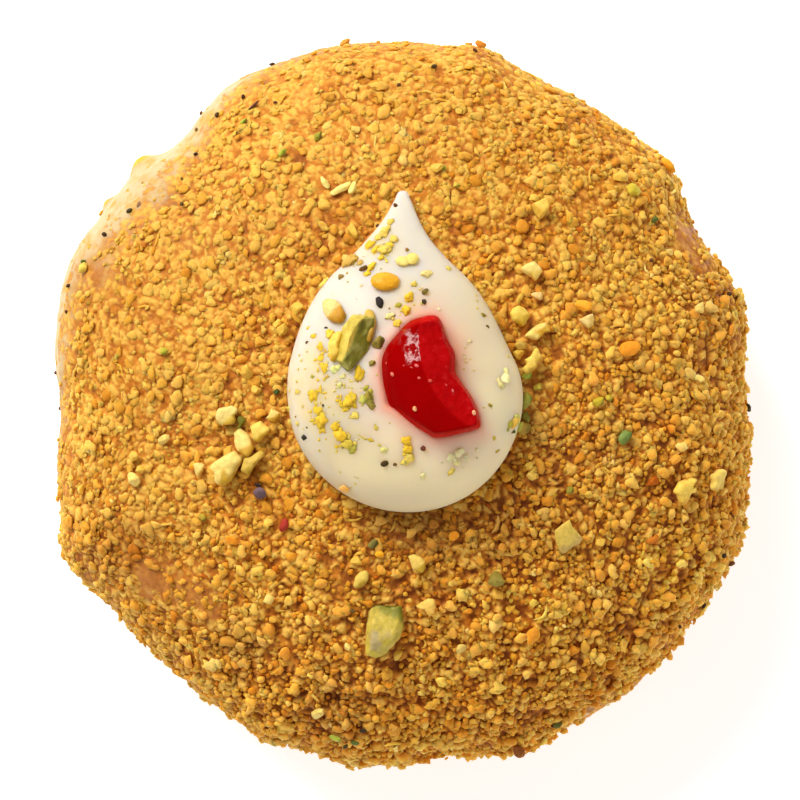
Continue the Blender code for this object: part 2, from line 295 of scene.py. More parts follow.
def cream_z(x, y):
    x, y = np.asarray(x, float), np.asarray(y, float)
    across = cream_across(x, y)
    over = GAP + cream_height(y) * (1.0 - np.minimum(across, 1.0) ** CREAM_POWER) ** (1.0 / CREAM_POWER)
    return dome_z(x, y) + np.where(across < 1.0, over, 0.0)


def cherry_radius(bearing):
    ring = [(a - 360, r) for a, r in CHERRY_OUTLINE[-3:]] + list(CHERRY_OUTLINE) + [(a + 360, r) for a, r in CHERRY_OUTLINE[:3]]
    return smooth_through(ring, np.asarray(bearing) % 360.0)


def cherry_outside(x, y):
    """How far outside the cherry's outline a point lies, in mm; less than 0 inside."""
    dx, dy = x - CHERRY_AT[0], y - CHERRY_AT[1]
    return np.hypot(dx, dy) - cherry_radius(np.degrees(np.arctan2(dy, dx)))


CHERRY_LEVEL = float(cream_z(*CHERRY_AT)) - CHERRY_SUNK


def past_ridge(x, y):
    return np.hypot(x - RIDGE_CENTRE[0], y - RIDGE_CENTRE[1]) - RIDGE_R


def cherry_shape(x, y, to_edge):
    """Height over the cherry's own level, with the edges a little softer than the CAD solid's."""
    ridge = past_ridge(x, y)
    skin = CHERRY_TOP - 0.075 * np.maximum(ridge + 0.4, 0.0) ** 2.15
    cut = CHERRY_TOP - 0.28 * np.maximum(-ridge, 0.0)
    soft = 0.12
    level = -soft * np.log(np.exp(-skin / soft) + np.exp(-cut / soft))
    level = level - CHERRY_LEAN * 0.4 * (np.log1p(np.exp((y - CHERRY_LEAN_FROM) / 0.4)) - np.log1p(np.exp((y - CHERRY_LEAN_TO) / 0.4)))
    band = np.maximum(1.0 - to_edge / CHERRY_EDGE, 0.0)
    return level * (1.0 - 0.42 * band**1.4)


def top_z(x, y):
    """The highest surface at (x, y): cherry, cream or pastry."""
    x, y = np.asarray(x, float), np.asarray(y, float)
    z = cream_z(x, y)
    out = cherry_outside(x, y)
    on = out < -0.2
    return np.where(on, CHERRY_LEVEL + cherry_shape(x, y, -out), z)


def spot(px, py):
    """(x, y) in mm of the highest surface that the camera sees at that pixel of the 800 x 800 frame."""
    px, py = np.asarray(px, float), np.asarray(py, float)
    z = np.full(px.shape, 35.0)
    for _ in range(8):
        scale = PX_MM * VIEW_MM / (VIEW_MM - (z - BELT_Z))
        x, y = CAM_X + (px - 400.0) / scale, CAM_Y - (py - 400.0) / scale
        z = top_z(x, y)
    return x, y


# ------------------------------------------------------------------ meshes
def new_piece(name, points, faces, look, smooth=True):
    """A piece of the object, from points in mm and faces that all have the same number of corners."""
    points, faces = np.asarray(points, np.float32), np.asarray(faces, np.int32)
    mesh = bpy.data.meshes.new(name)
    mesh.vertices.add(len(points))
    mesh.vertices.foreach_set("co", (points * MM).ravel())
    mesh.loops.add(faces.size)
    mesh.loops.foreach_set("vertex_index", faces.ravel())
    mesh.polygons.add(len(faces))
    mesh.polygons.foreach_set("loop_start", np.arange(0, faces.size, faces.shape[1], dtype=np.int32))
    mesh.update(calc_edges=True)
    if smooth:
        mesh.shade_smooth()
    obj = bpy.data.objects.new(name, mesh)
    bpy.context.scene.collection.objects.link(obj)
    mesh.materials.append(look)
    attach(obj, "root")
    return obj


def give_colour(obj, name, colours):
    colours = np.asarray(colours, np.float32)
    if colours.shape[1] == 3:
        colours = np.concatenate([colours, np.ones((len(colours), 1), np.float32)], 1)
    layer = obj.data.color_attributes.new(name, "FLOAT_COLOR", "POINT")
    layer.data.foreach_set("color", colours.ravel())


def give_number(obj, name, values):
    layer = obj.data.attributes.new(name, "FLOAT", "POINT")
    layer.data.foreach_set("value", np.asarray(values, np.float32))


def give_map(obj, uv, poles=None, reach=0.0):
    """A UV map by point, named for the bake. A point in poles is where a round map closes: its own place is the map's middle, and each face there takes a place of its own on the map's rim, at reach from the middle."""
    layer = obj.data.uv_layers.new(name="OFBake", do_init=False)
    corners = np.empty(len(obj.data.loops), np.int32)
    obj.data.loops.foreach_get("vertex_index", corners)
    uv = np.asarray(uv, np.float64)
    by_face = uv[corners].reshape(-1, 3, 2)
    if poles is not None:
        is_pole = np.zeros(len(uv), bool)
        is_pole[poles] = True
        at_pole = is_pole[corners].reshape(-1, 3)
        for k in range(3):
            rows = np.nonzero(at_pole[:, k])[0]
            middle = by_face[rows, k].copy()
            out = (by_face[rows, (k + 1) % 3] + by_face[rows, (k + 2) % 3]) / 2 - middle
            out /= np.maximum(np.linalg.norm(out, axis=1, keepdims=True), 1e-9)
            by_face[rows, k] = middle + out * reach
    layer.data.foreach_set("uv", by_face.astype(np.float32).ravel())


def give_cells(obj, base, n):
    """The map of n shapes made from the same round base."""
    k = len(base)
    side = int(math.ceil(math.sqrt(n)))
    back = np.nonzero(base[:, 2] < -0.9999)[0]
    poles = (np.arange(n)[:, None] * k + back[None]).ravel()
    give_map(obj, cell_map(two_sided(np.broadcast_to(base, (n, k, 3))), n), poles, 0.42 / side)


def rings_mesh(rings, start, end=None):
    """Faces between rings of points with any number of points each, sewn by angle. start is the point in the middle of the first ring, and end the one past the last.
    rings is a list of (first index, angles in order)."""
    faces = []
    first, angles = rings[0]
    n = len(angles)
    k = np.arange(n)
    faces.append(np.stack([np.full(n, start), first + k, first + (k + 1) % n], 1))
    for (fa, aa), (fb, ab) in zip(rings, rings[1:]):
        na, nb = len(aa), len(ab)
        mid_a = (aa + np.append(aa[1:], aa[0] + 2 * np.pi)) / 2
        mid_b = (ab + np.append(ab[1:], ab[0] + 2 * np.pi)) / 2
        i, j = np.arange(na), np.arange(nb)
        faces.append(np.stack([fa + i, fb + np.searchsorted(mid_b, mid_a) % nb, fa + (i + 1) % na], 1))
        faces.append(np.stack([fb + j, fb + (j + 1) % nb, fa + np.searchsorted(mid_a, mid_b, side="right") % na], 1))
    if end is not None:
        first, angles = rings[-1]
        n = len(angles)
        k = np.arange(n)
        faces.append(np.stack([first + k, np.full(n, end), first + (k + 1) % n], 1))
    return np.concatenate(faces)


def icosphere(level, eight=False):
    """(points, faces) of a sphere of radius 1 with 12, 42 or 162 points, or from eight faces with 6, 18 or 66."""
    t = (1 + 5**0.5) / 2
    points = [
        (-1, t, 0), (1, t, 0), (-1, -t, 0), (1, -t, 0), (0, -1, t), (0, 1, t),
        (0, -1, -t), (0, 1, -t), (t, 0, -1), (t, 0, 1), (-t, 0, -1), (-t, 0, 1),
    ]
    faces = [
        (0, 11, 5), (0, 5, 1), (0, 1, 7), (0, 7, 10), (0, 10, 11), (1, 5, 9), (5, 11, 4), (11, 10, 2), (10, 7, 6), (7, 1, 8),
        (3, 9, 4), (3, 4, 2), (3, 2, 6), (3, 6, 8), (3, 8, 9), (4, 9, 5), (2, 4, 11), (6, 2, 10), (8, 6, 7), (9, 8, 1),
    ]
    if eight:
        points = [(1, 0, 0), (-1, 0, 0), (0, 1, 0), (0, -1, 0), (0, 0, 1), (0, 0, -1)]
        faces = [(0, 2, 4), (2, 1, 4), (1, 3, 4), (3, 0, 4), (2, 0, 5), (1, 2, 5), (3, 1, 5), (0, 3, 5)]
    points = [np.array(p) / np.linalg.norm(p) for p in points]
    for _ in range(level):
        halves, finer = {}, []

        def half(a, b):
            key = (min(a, b), max(a, b))
            if key not in halves:
                middle = points[a] + points[b]
                points.append(middle / np.linalg.norm(middle))
                halves[key] = len(points) - 1
            return halves[key]

        for a, b, c in faces:
            ab, bc, ca = half(a, b), half(b, c), half(c, a)
            finer += [(a, ab, ca), (b, bc, ab), (c, ca, bc), (ab, bc, ca)]
        faces = finer
    return np.array(points), np.array(faces)


def random_turns(n):
    """n rotations in every direction, as matrices."""
    q = rng.normal(size=(n, 4))
    q /= np.linalg.norm(q, axis=1, keepdims=True)
    w, x, y, z = q.T
    return np.stack([
        np.stack([1 - 2 * (y * y + z * z), 2 * (x * y - w * z), 2 * (x * z + w * y)], 1),
        np.stack([2 * (x * y + w * z), 1 - 2 * (x * x + z * z), 2 * (y * z - w * x)], 1),
        np.stack([2 * (x * z - w * y), 2 * (y * z + w * x), 1 - 2 * (x * x + y * y)], 1),
    ], 1)


def upright(normals, bearings):
    """Matrices whose third column is the normal and whose first lies along the bearing, in radians, laid onto the surface."""
    n = normals / np.linalg.norm(normals, axis=1, keepdims=True)
    ahead = np.stack([np.cos(bearings), np.sin(bearings), np.zeros(len(n))], 1)
    ahead = ahead - n * (ahead * n).sum(1, keepdims=True)
    ahead /= np.linalg.norm(ahead, axis=1, keepdims=True)
    return np.stack([ahead, np.cross(n, ahead), n], 2)


def many(shapes, faces):
    """One mesh of many shapes: (n, points, 3) and the faces of one."""
    n, k, _ = shapes.shape
    return shapes.reshape(-1, 3), (faces[None] + (np.arange(n) * k)[:, None, None]).reshape(-1, 3)


def cell_map(flat, n):
    """A UV map with a cell for each of n shapes, from each shape's own flat points in -1 to 1."""
    side = int(math.ceil(math.sqrt(n)))
    at = np.stack([np.arange(n) % side, np.arange(n) // side], 1)[:, None]
    return ((at + 0.5 + 0.42 * flat) / side).reshape(-1, 2)


def two_sided(points):
    """Flat points for cell_map that keep the front and the back of a sphere's points apart: the front is the middle of the cell and the back is round it."""
    z = np.clip(points[..., 2], -1, 1)
    out = np.arccos(z) / np.pi
    along = points[..., :2] / np.maximum(np.linalg.norm(points[..., :2], axis=-1, keepdims=True), 1e-6)
    return along * out[..., None]


# ------------------------------------------------------------------ materials
def srgb(r, g, b):
    """A colour as seen on screen, made linear."""
    return tuple(c / 12.92 if c <= 0.04045 else ((c + 0.055) / 1.055) ** 2.4 for c in (r / 255, g / 255, b / 255))


class Look:
    """A Principled material and short ways to add nodes to it."""

    def __init__(self, name, **fixed):
        self.material = bpy.data.materials.new(name)
        self.material.use_nodes = True
        self.tree = self.material.node_tree
        self.shader = self.tree.nodes["Principled BSDF"]
        for key, value in fixed.items():
            socket = self.shader.inputs[key.replace("_", " ")]
            socket.default_value = (*value, 1.0) if socket.type == "RGBA" and len(value) == 3 else value

    def node(self, kind, **settings):
        made = self.tree.nodes.new(kind)
        for key, value in settings.items():
            setattr(made, key, value)
        return made

    def link(self, source, target):
        self.tree.links.new(source, target)

    def attribute(self, name):
        return self.node("ShaderNodeAttribute", attribute_name=name)

    def noise(self, scale, detail=3.0, rough=0.55):
        made = self.node("ShaderNodeTexNoise")
        made.inputs["Scale"].default_value = scale
        made.inputs["Detail"].default_value = detail
        made.inputs["Roughness"].default_value = rough
        self.link(self.place(), made.inputs["Vector"])
        return made.outputs["Fac"]

    def cells(self, scale, feature="F1"):
        made = self.node("ShaderNodeTexVoronoi", feature=feature)
        made.inputs["Scale"].default_value = scale
        self.link(self.place(), made.inputs["Vector"])
        return made

    def place(self):
        if not hasattr(self, "coordinates"):
            self.coordinates = self.node("ShaderNodeTexCoord")
        return self.coordinates.outputs["Object"]

    def between(self, fac, low, high, to_low=0.0, to_high=1.0):
        made = self.node("ShaderNodeMapRange")
        for key, value in (("From Min", low), ("From Max", high), ("To Min", to_low), ("To Max", to_high)):
            made.inputs[key].default_value = value
        self.link(fac, made.inputs["Value"])
        return made.outputs["Result"]

    def ramp(self, fac, *stops):
        made = self.node("ShaderNodeValToRGB")
        ramp = made.color_ramp
        while len(ramp.elements) < len(stops):
            ramp.elements.new(0.5)
        for element, (at, colour) in zip(ramp.elements, stops):
            element.position, element.color = at, (*colour, 1.0)
        self.link(fac, made.inputs["Fac"])
        return made.outputs["Color"]

    def mix(self, fac, a, b, blend="MIX"):
        made = self.node("ShaderNodeMix", data_type="RGBA", blend_type=blend)
        for value, socket in ((fac, made.inputs[0]), (a, made.inputs[6]), (b, made.inputs[7])):
            if isinstance(value, (int, float)):
                socket.default_value = value
            elif isinstance(value, tuple):
                socket.default_value = (*value, 1.0)
            else:
                self.link(value, socket)
        return made.outputs[2]

    def math(self, kind, a, b=0.0):
        made = self.node("ShaderNodeMath", operation=kind)
        for value, socket in ((a, made.inputs[0]), (b, made.inputs[1])):
            if isinstance(value, (int, float)):
                socket.default_value = value
            else:
                self.link(value, socket)
        return made.outputs[0]

    def colour(self, source):
        self.link(source, self.shader.inputs["Base Color"])

    def roughness(self, source):
        self.link(source, self.shader.inputs["Roughness"])

    def bump(self, height, distance, strength=1.0):
        made = self.node("ShaderNodeBump")
        made.inputs["Strength"].default_value = strength
        made.inputs["Distance"].default_value = distance
        self.link(height, made.inputs["Height"])
        self.link(made.outputs["Normal"], self.shader.inputs["Normal"])


def crumb_look(name, roughness=0.62, depth=0.00006):
    """Toasted crumbs: the colour of each from its Tint, mottled at the scale of its own grain."""
    look = Look(
        name, Roughness=roughness, Specular_IOR_Level=0.08,
        Subsurface_Weight=0.7, Subsurface_Radius=(0.0009, 0.00065, 0.00035), Subsurface_Scale=1.0,
    )
    tint = look.attribute("Tint").outputs["Color"]
    mottle = look.ramp(look.noise(1100.0, 2.0), (0.3, (0.90, 0.84, 0.70)), (0.65, (1.0, 1.0, 1.0)))
    look.colour(look.mix(0.7, tint, mottle, "MULTIPLY"))
    look.bump(look.noise(1400.0, 1.0), depth, 0.3)
    return look.material


def bun_look():
    """The pastry under its crumbs: orange-brown glaze, paler dough where it is bare, and a baked brown foot, darkened
    on the side that faces the key light as painted shade.
    Cover is 1 under the crumbs, Bake runs from 0 on pale dough to 1 on browned crust, and Tint holds the colour of the
    crumb bed, with painted shade in its gaps."""
    look = Look(
        "bun_crust", Specular_IOR_Level=0.2,
        Subsurface_Weight=0.4, Subsurface_Radius=(0.0010, 0.0006, 0.00025), Subsurface_Scale=1.0,
    )
    cover = look.attribute("Cover").outputs["Fac"]
    bake = look.attribute("Bake").outputs["Fac"]
    bed = look.attribute("Tint").outputs["Color"]
    blotch = look.noise(220.0, 3.0, 0.6)
    fine = look.noise(1500.0, 3.0, 0.6)
    pale = look.ramp(blotch, (0.34, srgb(224, 182, 112)), (0.46, srgb(230, 203, 148)), (0.58, srgb(232, 207, 154)), (0.68, srgb(228, 188, 104)))
    dough = look.mix(look.between(look.noise(420.0, 3.0, 0.6), 0.50, 0.66), pale, srgb(230, 178, 78))
    brown = look.ramp(fine, (0.25, srgb(172, 92, 28)), (0.6, srgb(206, 124, 42)), (0.85, srgb(218, 146, 62)))
    # Painted shade: the crust is darkened on the side that faces the key light.
    crust = look.mix(1.0, look.mix(bake, dough, brown), look.attribute("PaintedShade").outputs["Fac"], "MULTIPLY")
    # Painted shade: the bed darkens towards the rim of each fine grain, where the bump dips.
    grains = look.ramp(look.cells(1500.0).outputs["Distance"], (0.0, (1.05, 1.05, 1.04)), (0.45, (0.96, 0.92, 0.86)), (0.8, (0.86, 0.76, 0.60)))
    under = look.mix(0.6, bed, grains, "MULTIPLY")
    look.colour(look.mix(cover, crust, under))
    look.roughness(look.between(look.math("SUBTRACT", fine, look.math("MULTIPLY", cover, -0.4)), 0.3, 1.0, 0.36, 0.7))
    height = look.math("ADD", look.math("MULTIPLY", fine, 0.35), look.math("MULTIPLY", look.cells(1500.0).outputs["Distance"], look.math("MULTIPLY", cover, -1.0)))
    look.bump(height, 0.00016, 1.0)
    return look.material


def cream_look():
    """Whipped cream: a soft white, stained pink round the cherry, with faint unevenness, and painted light: lighter and
    yellower towards the lower right, where it lies in shade, and a lighter pink in the cherry's shadow below it.
    """
    look = Look(
        "cream_white", Roughness=0.45, Specular_IOR_Level=0.35,
        Subsurface_Weight=0.8, Subsurface_Radius=(0.0050, 0.0036, 0.0018), Subsurface_Scale=1.0,
    )
    stain = look.attribute("Stain").outputs["Fac"]
    oil = look.attribute("Oil").outputs["Fac"]
    pink_painted_light = look.attribute("PinkPaintedLight").outputs["Fac"]
    # Painted light: lighter and yellower towards the lower right, where the cream lies in shade.
    white = look.ramp(look.attribute("PaintedLight").outputs["Fac"], (0.0, (0.64, 0.59, 0.50)), (0.5, (0.69, 0.575, 0.37)), (1.0, (0.90, 0.76, 0.45)))
    # Oil stains, and a lighter pink below the cherry that is partly painted light.
    oil_and_painted_light = look.mix(pink_painted_light, look.mix(oil, white, (0.80, 0.60, 0.24)), (1.0, 0.78, 0.62))
    look.colour(look.mix(stain, oil_and_painted_light, srgb(246, 104, 74)))
    look.bump(look.noise(900.0, 3.0, 0.5), 0.00003, 0.35)
    return look.material


def cherry_look(name, index):
    """Candied cherry: deep red skin, a grainier and brighter cut face, and thin paler edges of cut flesh, with painted
    light where light shines through them. The wet streaks have a higher index.
    """
    look = Look(
        name, IOR=index, Specular_IOR_Level=0.5, Subsurface_Weight=0.1, Subsurface_Radius=(0.0015, 0.0001, 0.0001), Subsurface_Scale=1.0,
    )
    cut = look.attribute("Cut").outputs["Fac"]
    edge = look.attribute("CutEdgeAndPaintedGlow").outputs["Fac"]
    grain = look.noise(1300.0, 4.0, 0.65)
    skin = look.ramp(look.noise(200.0, 2.0), (0.3, (0.27, 0.0004, 0.0005)), (0.75, (0.31, 0.0006, 0.0008)))
    flesh = look.ramp(grain, (0.25, (0.34, 0.001, 0.0015)), (0.6, (0.41, 0.003, 0.004)), (0.8, (0.50, 0.022, 0.022)))
    body = look.mix(cut, skin, flesh)
    # Paler red at the edges: cut flesh, and painted light shining through.
    look.colour(look.mix(look.math("MULTIPLY", edge, 0.7), body, (0.60, 0.006, 0.003)))
    look.roughness(look.between(look.math("MULTIPLY", cut, grain), 0.1, 0.7, 0.10, 0.40))
    streaks = look.noise(700.0, 3.0, 0.7)
    height = look.math("ADD", look.math("MULTIPLY", grain, look.math("MULTIPLY", cut, 0.8)), look.math("MULTIPLY", streaks, 0.5))
    look.bump(height, 0.00020, 0.8)
    return look.material


def nut_look(name, roughness=0.55, soft=0.25):
    """Chopped nuts: the colour from Tint, mottled, with a chalky cut grain."""
    look = Look(
        name, Roughness=roughness, Specular_IOR_Level=0.25,
        Subsurface_Weight=soft, Subsurface_Radius=(0.0009, 0.0007, 0.00025), Subsurface_Scale=1.0,
    )
    tint = look.attribute("Tint").outputs["Color"]
    mottle = look.ramp(look.noise(1500.0, 4.0, 0.65), (0.28, (0.66, 0.64, 0.5)), (0.6, (1.0, 1.0, 1.0)))
    look.colour(look.mix(0.7, tint, mottle, "MULTIPLY"))
    look.bump(look.noise(2200.0, 3.0, 0.6), 0.00009, 0.7)
    return look.material


# ------------------------------------------------------------------ where the crumbs lie
# The height at which the coat of crumbs ends, by bearing: (bearing, how much higher than EDGE_Z, half width in degrees).
EDGE_Z = 13.5
EDGE_RISES = ((140, 15.0, 38), (303, 9.0, 9), (264, 7.0, 5), (30, 4.0, 12), (345, 2.0, 10), (175, 4.8, 13))

COAT = 0.75  # how thick the coat is

# Thin places in the coat where the glaze shows: (pixel x, y, half width in px, how much is missing).
THIN = (
    (150, 578, 17, 0.8), (188, 592, 20, 0.75), (212, 612, 12, 0.5), (94, 278, 12, 0.7), (100, 250, 12, 0.7), (110, 232, 12, 0.5),
    (690, 235, 14, 0.8), (705, 262, 10, 0.6), (150, 190, 14, 0.35), (190, 240, 22, 0.25), (300, 90, 20, 0.25), (330, 170, 30, 0.15),
    (120, 330, 20, 0.2), (345, 590, 18, 0.3), (290, 640, 14, 0.2), (570, 705, 20, 0.3), (640, 560, 22, 0.1),
)


# Rounded golden swellings in the rim: (pixel x, y of the outline there, half width in mm, how far out in mm).
BUMPS = ((142, 164, 2.1, 1.5), (110, 205, 1.2, 0.7))


def edge_height(theta):
    bearing = np.degrees(theta)
    return EDGE_Z + sum(rise * bell(turned(bearing, at), wide) for at, rise, wide in EDGE_RISES)


# Browned patches of glaze at the rim: (pixel x, y, half width in px, how brown).
GLAZED = (
    (94, 278, 20, 1.0), (108, 243, 10, 0.7), (690, 235, 22, 1.0), (705, 262, 20, 1.0), (722, 286, 16, 0.8),
)

# Patches of the coat that are darker, or lighter where the number is below 0: the first four, by the cream's lower and
# right edge, are painted shadow of the cream, and the others are toasted more or less: (pixel x, y, half width in px,
# how much).
TOAST_AND_SHADOW_PATCHES = (
    (432, 530, 34, 0.38), (385, 530, 24, 0.22), (500, 530, 32, 0.26), (545, 430, 18, 0.28), (342, 706, 32, 0.32), (132, 550, 36, 0.28),
    (240, 640, 28, 0.22), (706, 312, 26, 0.16), (600, 456, 28, 0.16), (528, 600, 28, -0.30), (276, 488, 22, -0.20), (670, 564, 30, -0.22),
)

_toast_shadow_x, _toast_shadow_y = spot([t[0] for t in TOAST_AND_SHADOW_PATCHES], [t[1] for t in TOAST_AND_SHADOW_PATCHES])
_glazed_x, _glazed_y = spot([t[0] for t in GLAZED], [t[1] for t in GLAZED])
_thin_x, _thin_y = spot([t[0] for t in THIN], [t[1] for t in THIN])


def cover_at(s, theta, points, lower=0.0):
    """How much of the surface the coat covers there, 0 to 1, or a coat that ends that much lower."""
    z = points[:, 2]
    ragged = 2.6 * layered(points, 9.0, 3) + 1.4 * noise(points, 2.6, 8)
    cover = step(-3.4, 3.4, z - edge_height(theta) + ragged + lower)
    for (_, _, wide, missing), cx, cy in zip(THIN, _thin_x, _thin_y):
        cover = cover * (1.0 - missing * bell(np.hypot(points[:, 0] - cx, points[:, 1] - cy), wide / PX_MM * 1.4))
    return cover


# ------------------------------------------------------------------ the bun
def openness(points):
    """How open the coat is: near 0 at the upper left, where the crumbs are stuck in a paste of glaze, to 1 at the lower right, where dark gaps lie between the clumps."""
    across = (0.57 * points[:, 0] - 0.82 * points[:, 1]) / 50.0
    return np.clip(0.50 + 0.56 * across + 0.25 * layered(points, 16.0, 47), 0.06, 1.0)


def toasted(points):
    """How the coat's colour drifts, red, green and blue: deeper and warmer at the upper left, where it is a paste and
    faces the key light, paler towards the lower right, away from the light, as painted light; the listed patches darken
    or lighten it, and those by the cream's lower and right edge are painted shadow of the cream.
    """
    lightness = np.ones(len(points))
    # Painted shadow of the cream, and patches toasted more or less.
    for (_, _, wide, much), cx, cy in zip(TOAST_AND_SHADOW_PATCHES, _toast_shadow_x, _toast_shadow_y):
        lightness = lightness * (1.0 - much * bell(np.hypot(points[:, 0] - cx, points[:, 1] - cy), wide / PX_MM))
    # Painted light: paler and bluer towards the lower right, away from the key light.
    drift = np.array([0.828, 0.805, 0.60]) + openness(points)[:, None] * np.array([0.232, 0.305, 0.44])
    return drift * lightness[:, None] ** np.array([0.9, 1.15, 1.15])


def clump(points):
    return 0.75 * noise(points, 2.4, 22) + 0.45 * noise(points, 1.35, 23)


def lumps(points):
    """The crumbs that are stuck together, as relief: how high each point stands from 0 in a gap to 1 on a top, and a number for each lump."""
    bent = points + 0.46 * np.stack([noise(points, 1.15, 131 + k) for k in range(3)], 1)
    first, second, who = two_cells(bent, 1.42, 4)
    top = step(0.0, 0.42, second - first) * (0.45 + 0.55 * who)
    return np.clip(top + 0.24 * noise(points, 0.62, 135), 0.0, 1.1), who


def bed_tone(points, top, who):
    """The colour of the bed of crumbs and glaze: pale on the tops and deepest in the gaps, a deepening that is painted
    shade.
    """
    drift = layered(points, 14.0, 5)[:, None]
    deep = np.array(srgb(128, 60, 6))
    warm = np.array(srgb(211, 130, 34))
    pale = np.array(srgb(243, 190, 90))
    # Painted shade: darker from the tops of the relief down into its gaps.
    mix = np.clip(1.05 * top + 0.18 * who + 0.28 * clump(points) + 0.35 * (1.0 - openness(points)), 0, 1)[:, None]
    tone = np.where(mix < 0.5, deep + (warm - deep) * mix * 2, warm + (pale - warm) * (mix - 0.5) * 2)
    return np.clip(tone * (1.0 + 0.10 * drift) * toasted(points), 0, 1)


def make_bun():
    """Rings of points half a millimetre apart down the dome and the side, wider over the base, with the bed of crumbs as relief."""
    fine_to = BELT_S + 3.0
    stations = [(s, 1.4) for s in np.arange(1.2, 13.0, 1.2)]
    stations += [(s, 0.365) for s in np.arange(13.0, fine_to, 0.365)]
    stations += [(s, 0.80) for s in np.arange(fine_to + 0.3, FOOT_S, 0.75)]
    rings, points, places = [], [surface(np.array([0.0]), np.array([0.0]))], [(0.0, 0.0)]
    count = 1
    for k, (s, apart) in enumerate(stations):
        r = float(np.interp(s, PROFILE_S, PROFILE_R))
        n = max(int(round(2 * np.pi * r / apart)), 8)
        angles = (np.arange(n) + 0.5 * (k % 2)) * 2 * np.pi / n
        rings.append((count, angles))
        points.append(surface(np.full(n, s), angles))
        places += [(s, a) for a in angles]
        count += n
    on_side = count
    foot_r = float(PROFILE_R[-1])
    for k, r in enumerate(np.arange(foot_r - 0.35, 2.0, -1.9)):
        n = max(int(round(2 * np.pi * r / (1.0 if k == 0 else 2.0))), 8)
        angles = (np.arange(n) + 0.5 * (k % 2)) * 2 * np.pi / n
        rings.append((count, angles))
        flat = surface(np.full(n, FOOT_S), angles)
        flat[:, :2] = (flat[:, :2] + MIDDLE) * (r / foot_r) - MIDDLE
        points.append(flat)
        places += [(FOOT_S, a) for a in angles]
        count += n
    points.append(np.array([[-MIDDLE[0], -MIDDLE[1], 0.0]]))
    places.append((FOOT_S, 0.0))
    faces = rings_mesh(rings, 0, count)
    points = np.concatenate(points)
    s, theta = np.array(places).T
    normals = surface_normal(s, theta)
    cover = np.where(np.arange(len(points)) < on_side, cover_at(s, theta, points), 0.0)

    top, who = lumps(points)
    tone = bed_tone(points, top, who)
    patch = np.zeros(len(points))
    swollen = np.zeros(len(points))
    for px, py, wide, out in BUMPS:
        bx, by = (float(v) for v in spot(px, py))
        turn = math.atan2(by + MIDDLE[1], bx + MIDDLE[0])
        rim = surface(np.array([BELT_S - 0.5]), np.array([turn]))[0]
        near = bell(np.linalg.norm(points - rim, axis=1), wide)
        patch = np.maximum(patch, near)
        swollen = swollen + out * near
    # At its edge the coat thins out lump by lump.
    wider = np.where(np.arange(len(points)) < on_side, cover_at(s, theta, points, 2.4), 0.0)
    there = step(-0.12, 0.12, wider * 1.25 - 0.12 - who * 0.95)
    wrinkle = 0.06 * noise(points * np.array([1.0, 1.0, 2.2]), 3.0, 31) + 0.10 * noise(points, 1.7, 32) + 0.06 * noise(points, 0.95, 33)
    rise = cover * coat_swell(points) + there * top * (0.30 + 0.52 * openness(points)) * (0.5 + 0.5 * cover) + (1 - cover) * wrinkle
    rise = rise + swollen
    foot = step(0.0, 1.2, points[:, 2])
    on = np.arange(len(points)) < on_side
    points = points + normals * (np.where(on, rise, 0.0) * foot)[:, None]
    points[:, 2] = np.maximum(points[:, 2], 0.0)

    z = points[:, 2]
    drift = 2.2 * layered(points, 11.0, 41)
    bake = 1.0 - step(3.5, 8.5, z + drift)  # the browned foot
    high = edge_height(theta)
    near_coat = step(-4.0, 2.5, z - high + 1.2 * drift) * 0.26  # glaze runs out from under the coat
    glaze = step(0.5, 5.5, z - high + 1.6 * drift) * 0.92
    bake = np.clip(np.maximum(np.maximum(bake, near_coat), glaze), 0, 1)
    for (_, _, wide, shown), cx, cy in zip(GLAZED, _glazed_x, _glazed_y):
        bake = np.maximum(bake, shown * step(-8.0, -2.5, z - high) * bell(np.hypot(points[:, 0] - cx, points[:, 1] - cy) * (1.0 + 0.25 * noise(points, 1.6, 42)), wide / PX_MM))
    bake[~on] = 0.85

    bun = new_piece("bun_fine", points, faces, bun_look())
    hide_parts("bun")
    gold = step(0.25, 0.8, patch)
    tone = tone * (1 - gold[:, None]) + np.array(srgb(242, 176, 40)) * gold[:, None]
    give_number(bun, "Cover", np.maximum(there * step(-0.1, 0.25, top) * (1 - cover) + cover * step(0.0, 0.5, cover), gold))
    # Painted shade: darker on the side of the rim that faces the key light, at a bearing of 130 degrees.
    lit = 0.5 + 0.5 * np.cos(theta - math.radians(130.0))
    give_number(bun, "PaintedShade", 1.0 - 0.30 * lit)
    give_number(bun, "Bake", bake)
    give_colour(bun, "Tint", tone)
    base_r = np.hypot(points[:, 0] + MIDDLE[0], points[:, 1] + MIDDLE[1])
    rho = np.where(on, 0.455 * s / FOOT_S, 0.46 + 0.03 * (1 - np.minimum(base_r / foot_r, 1.0)))
    rho[-1] = 0.0
    give_map(bun, 0.5 + rho[:, None] * np.stack([np.cos(theta), np.sin(theta)], 1), [len(points) - 1], 0.498)
    return bun


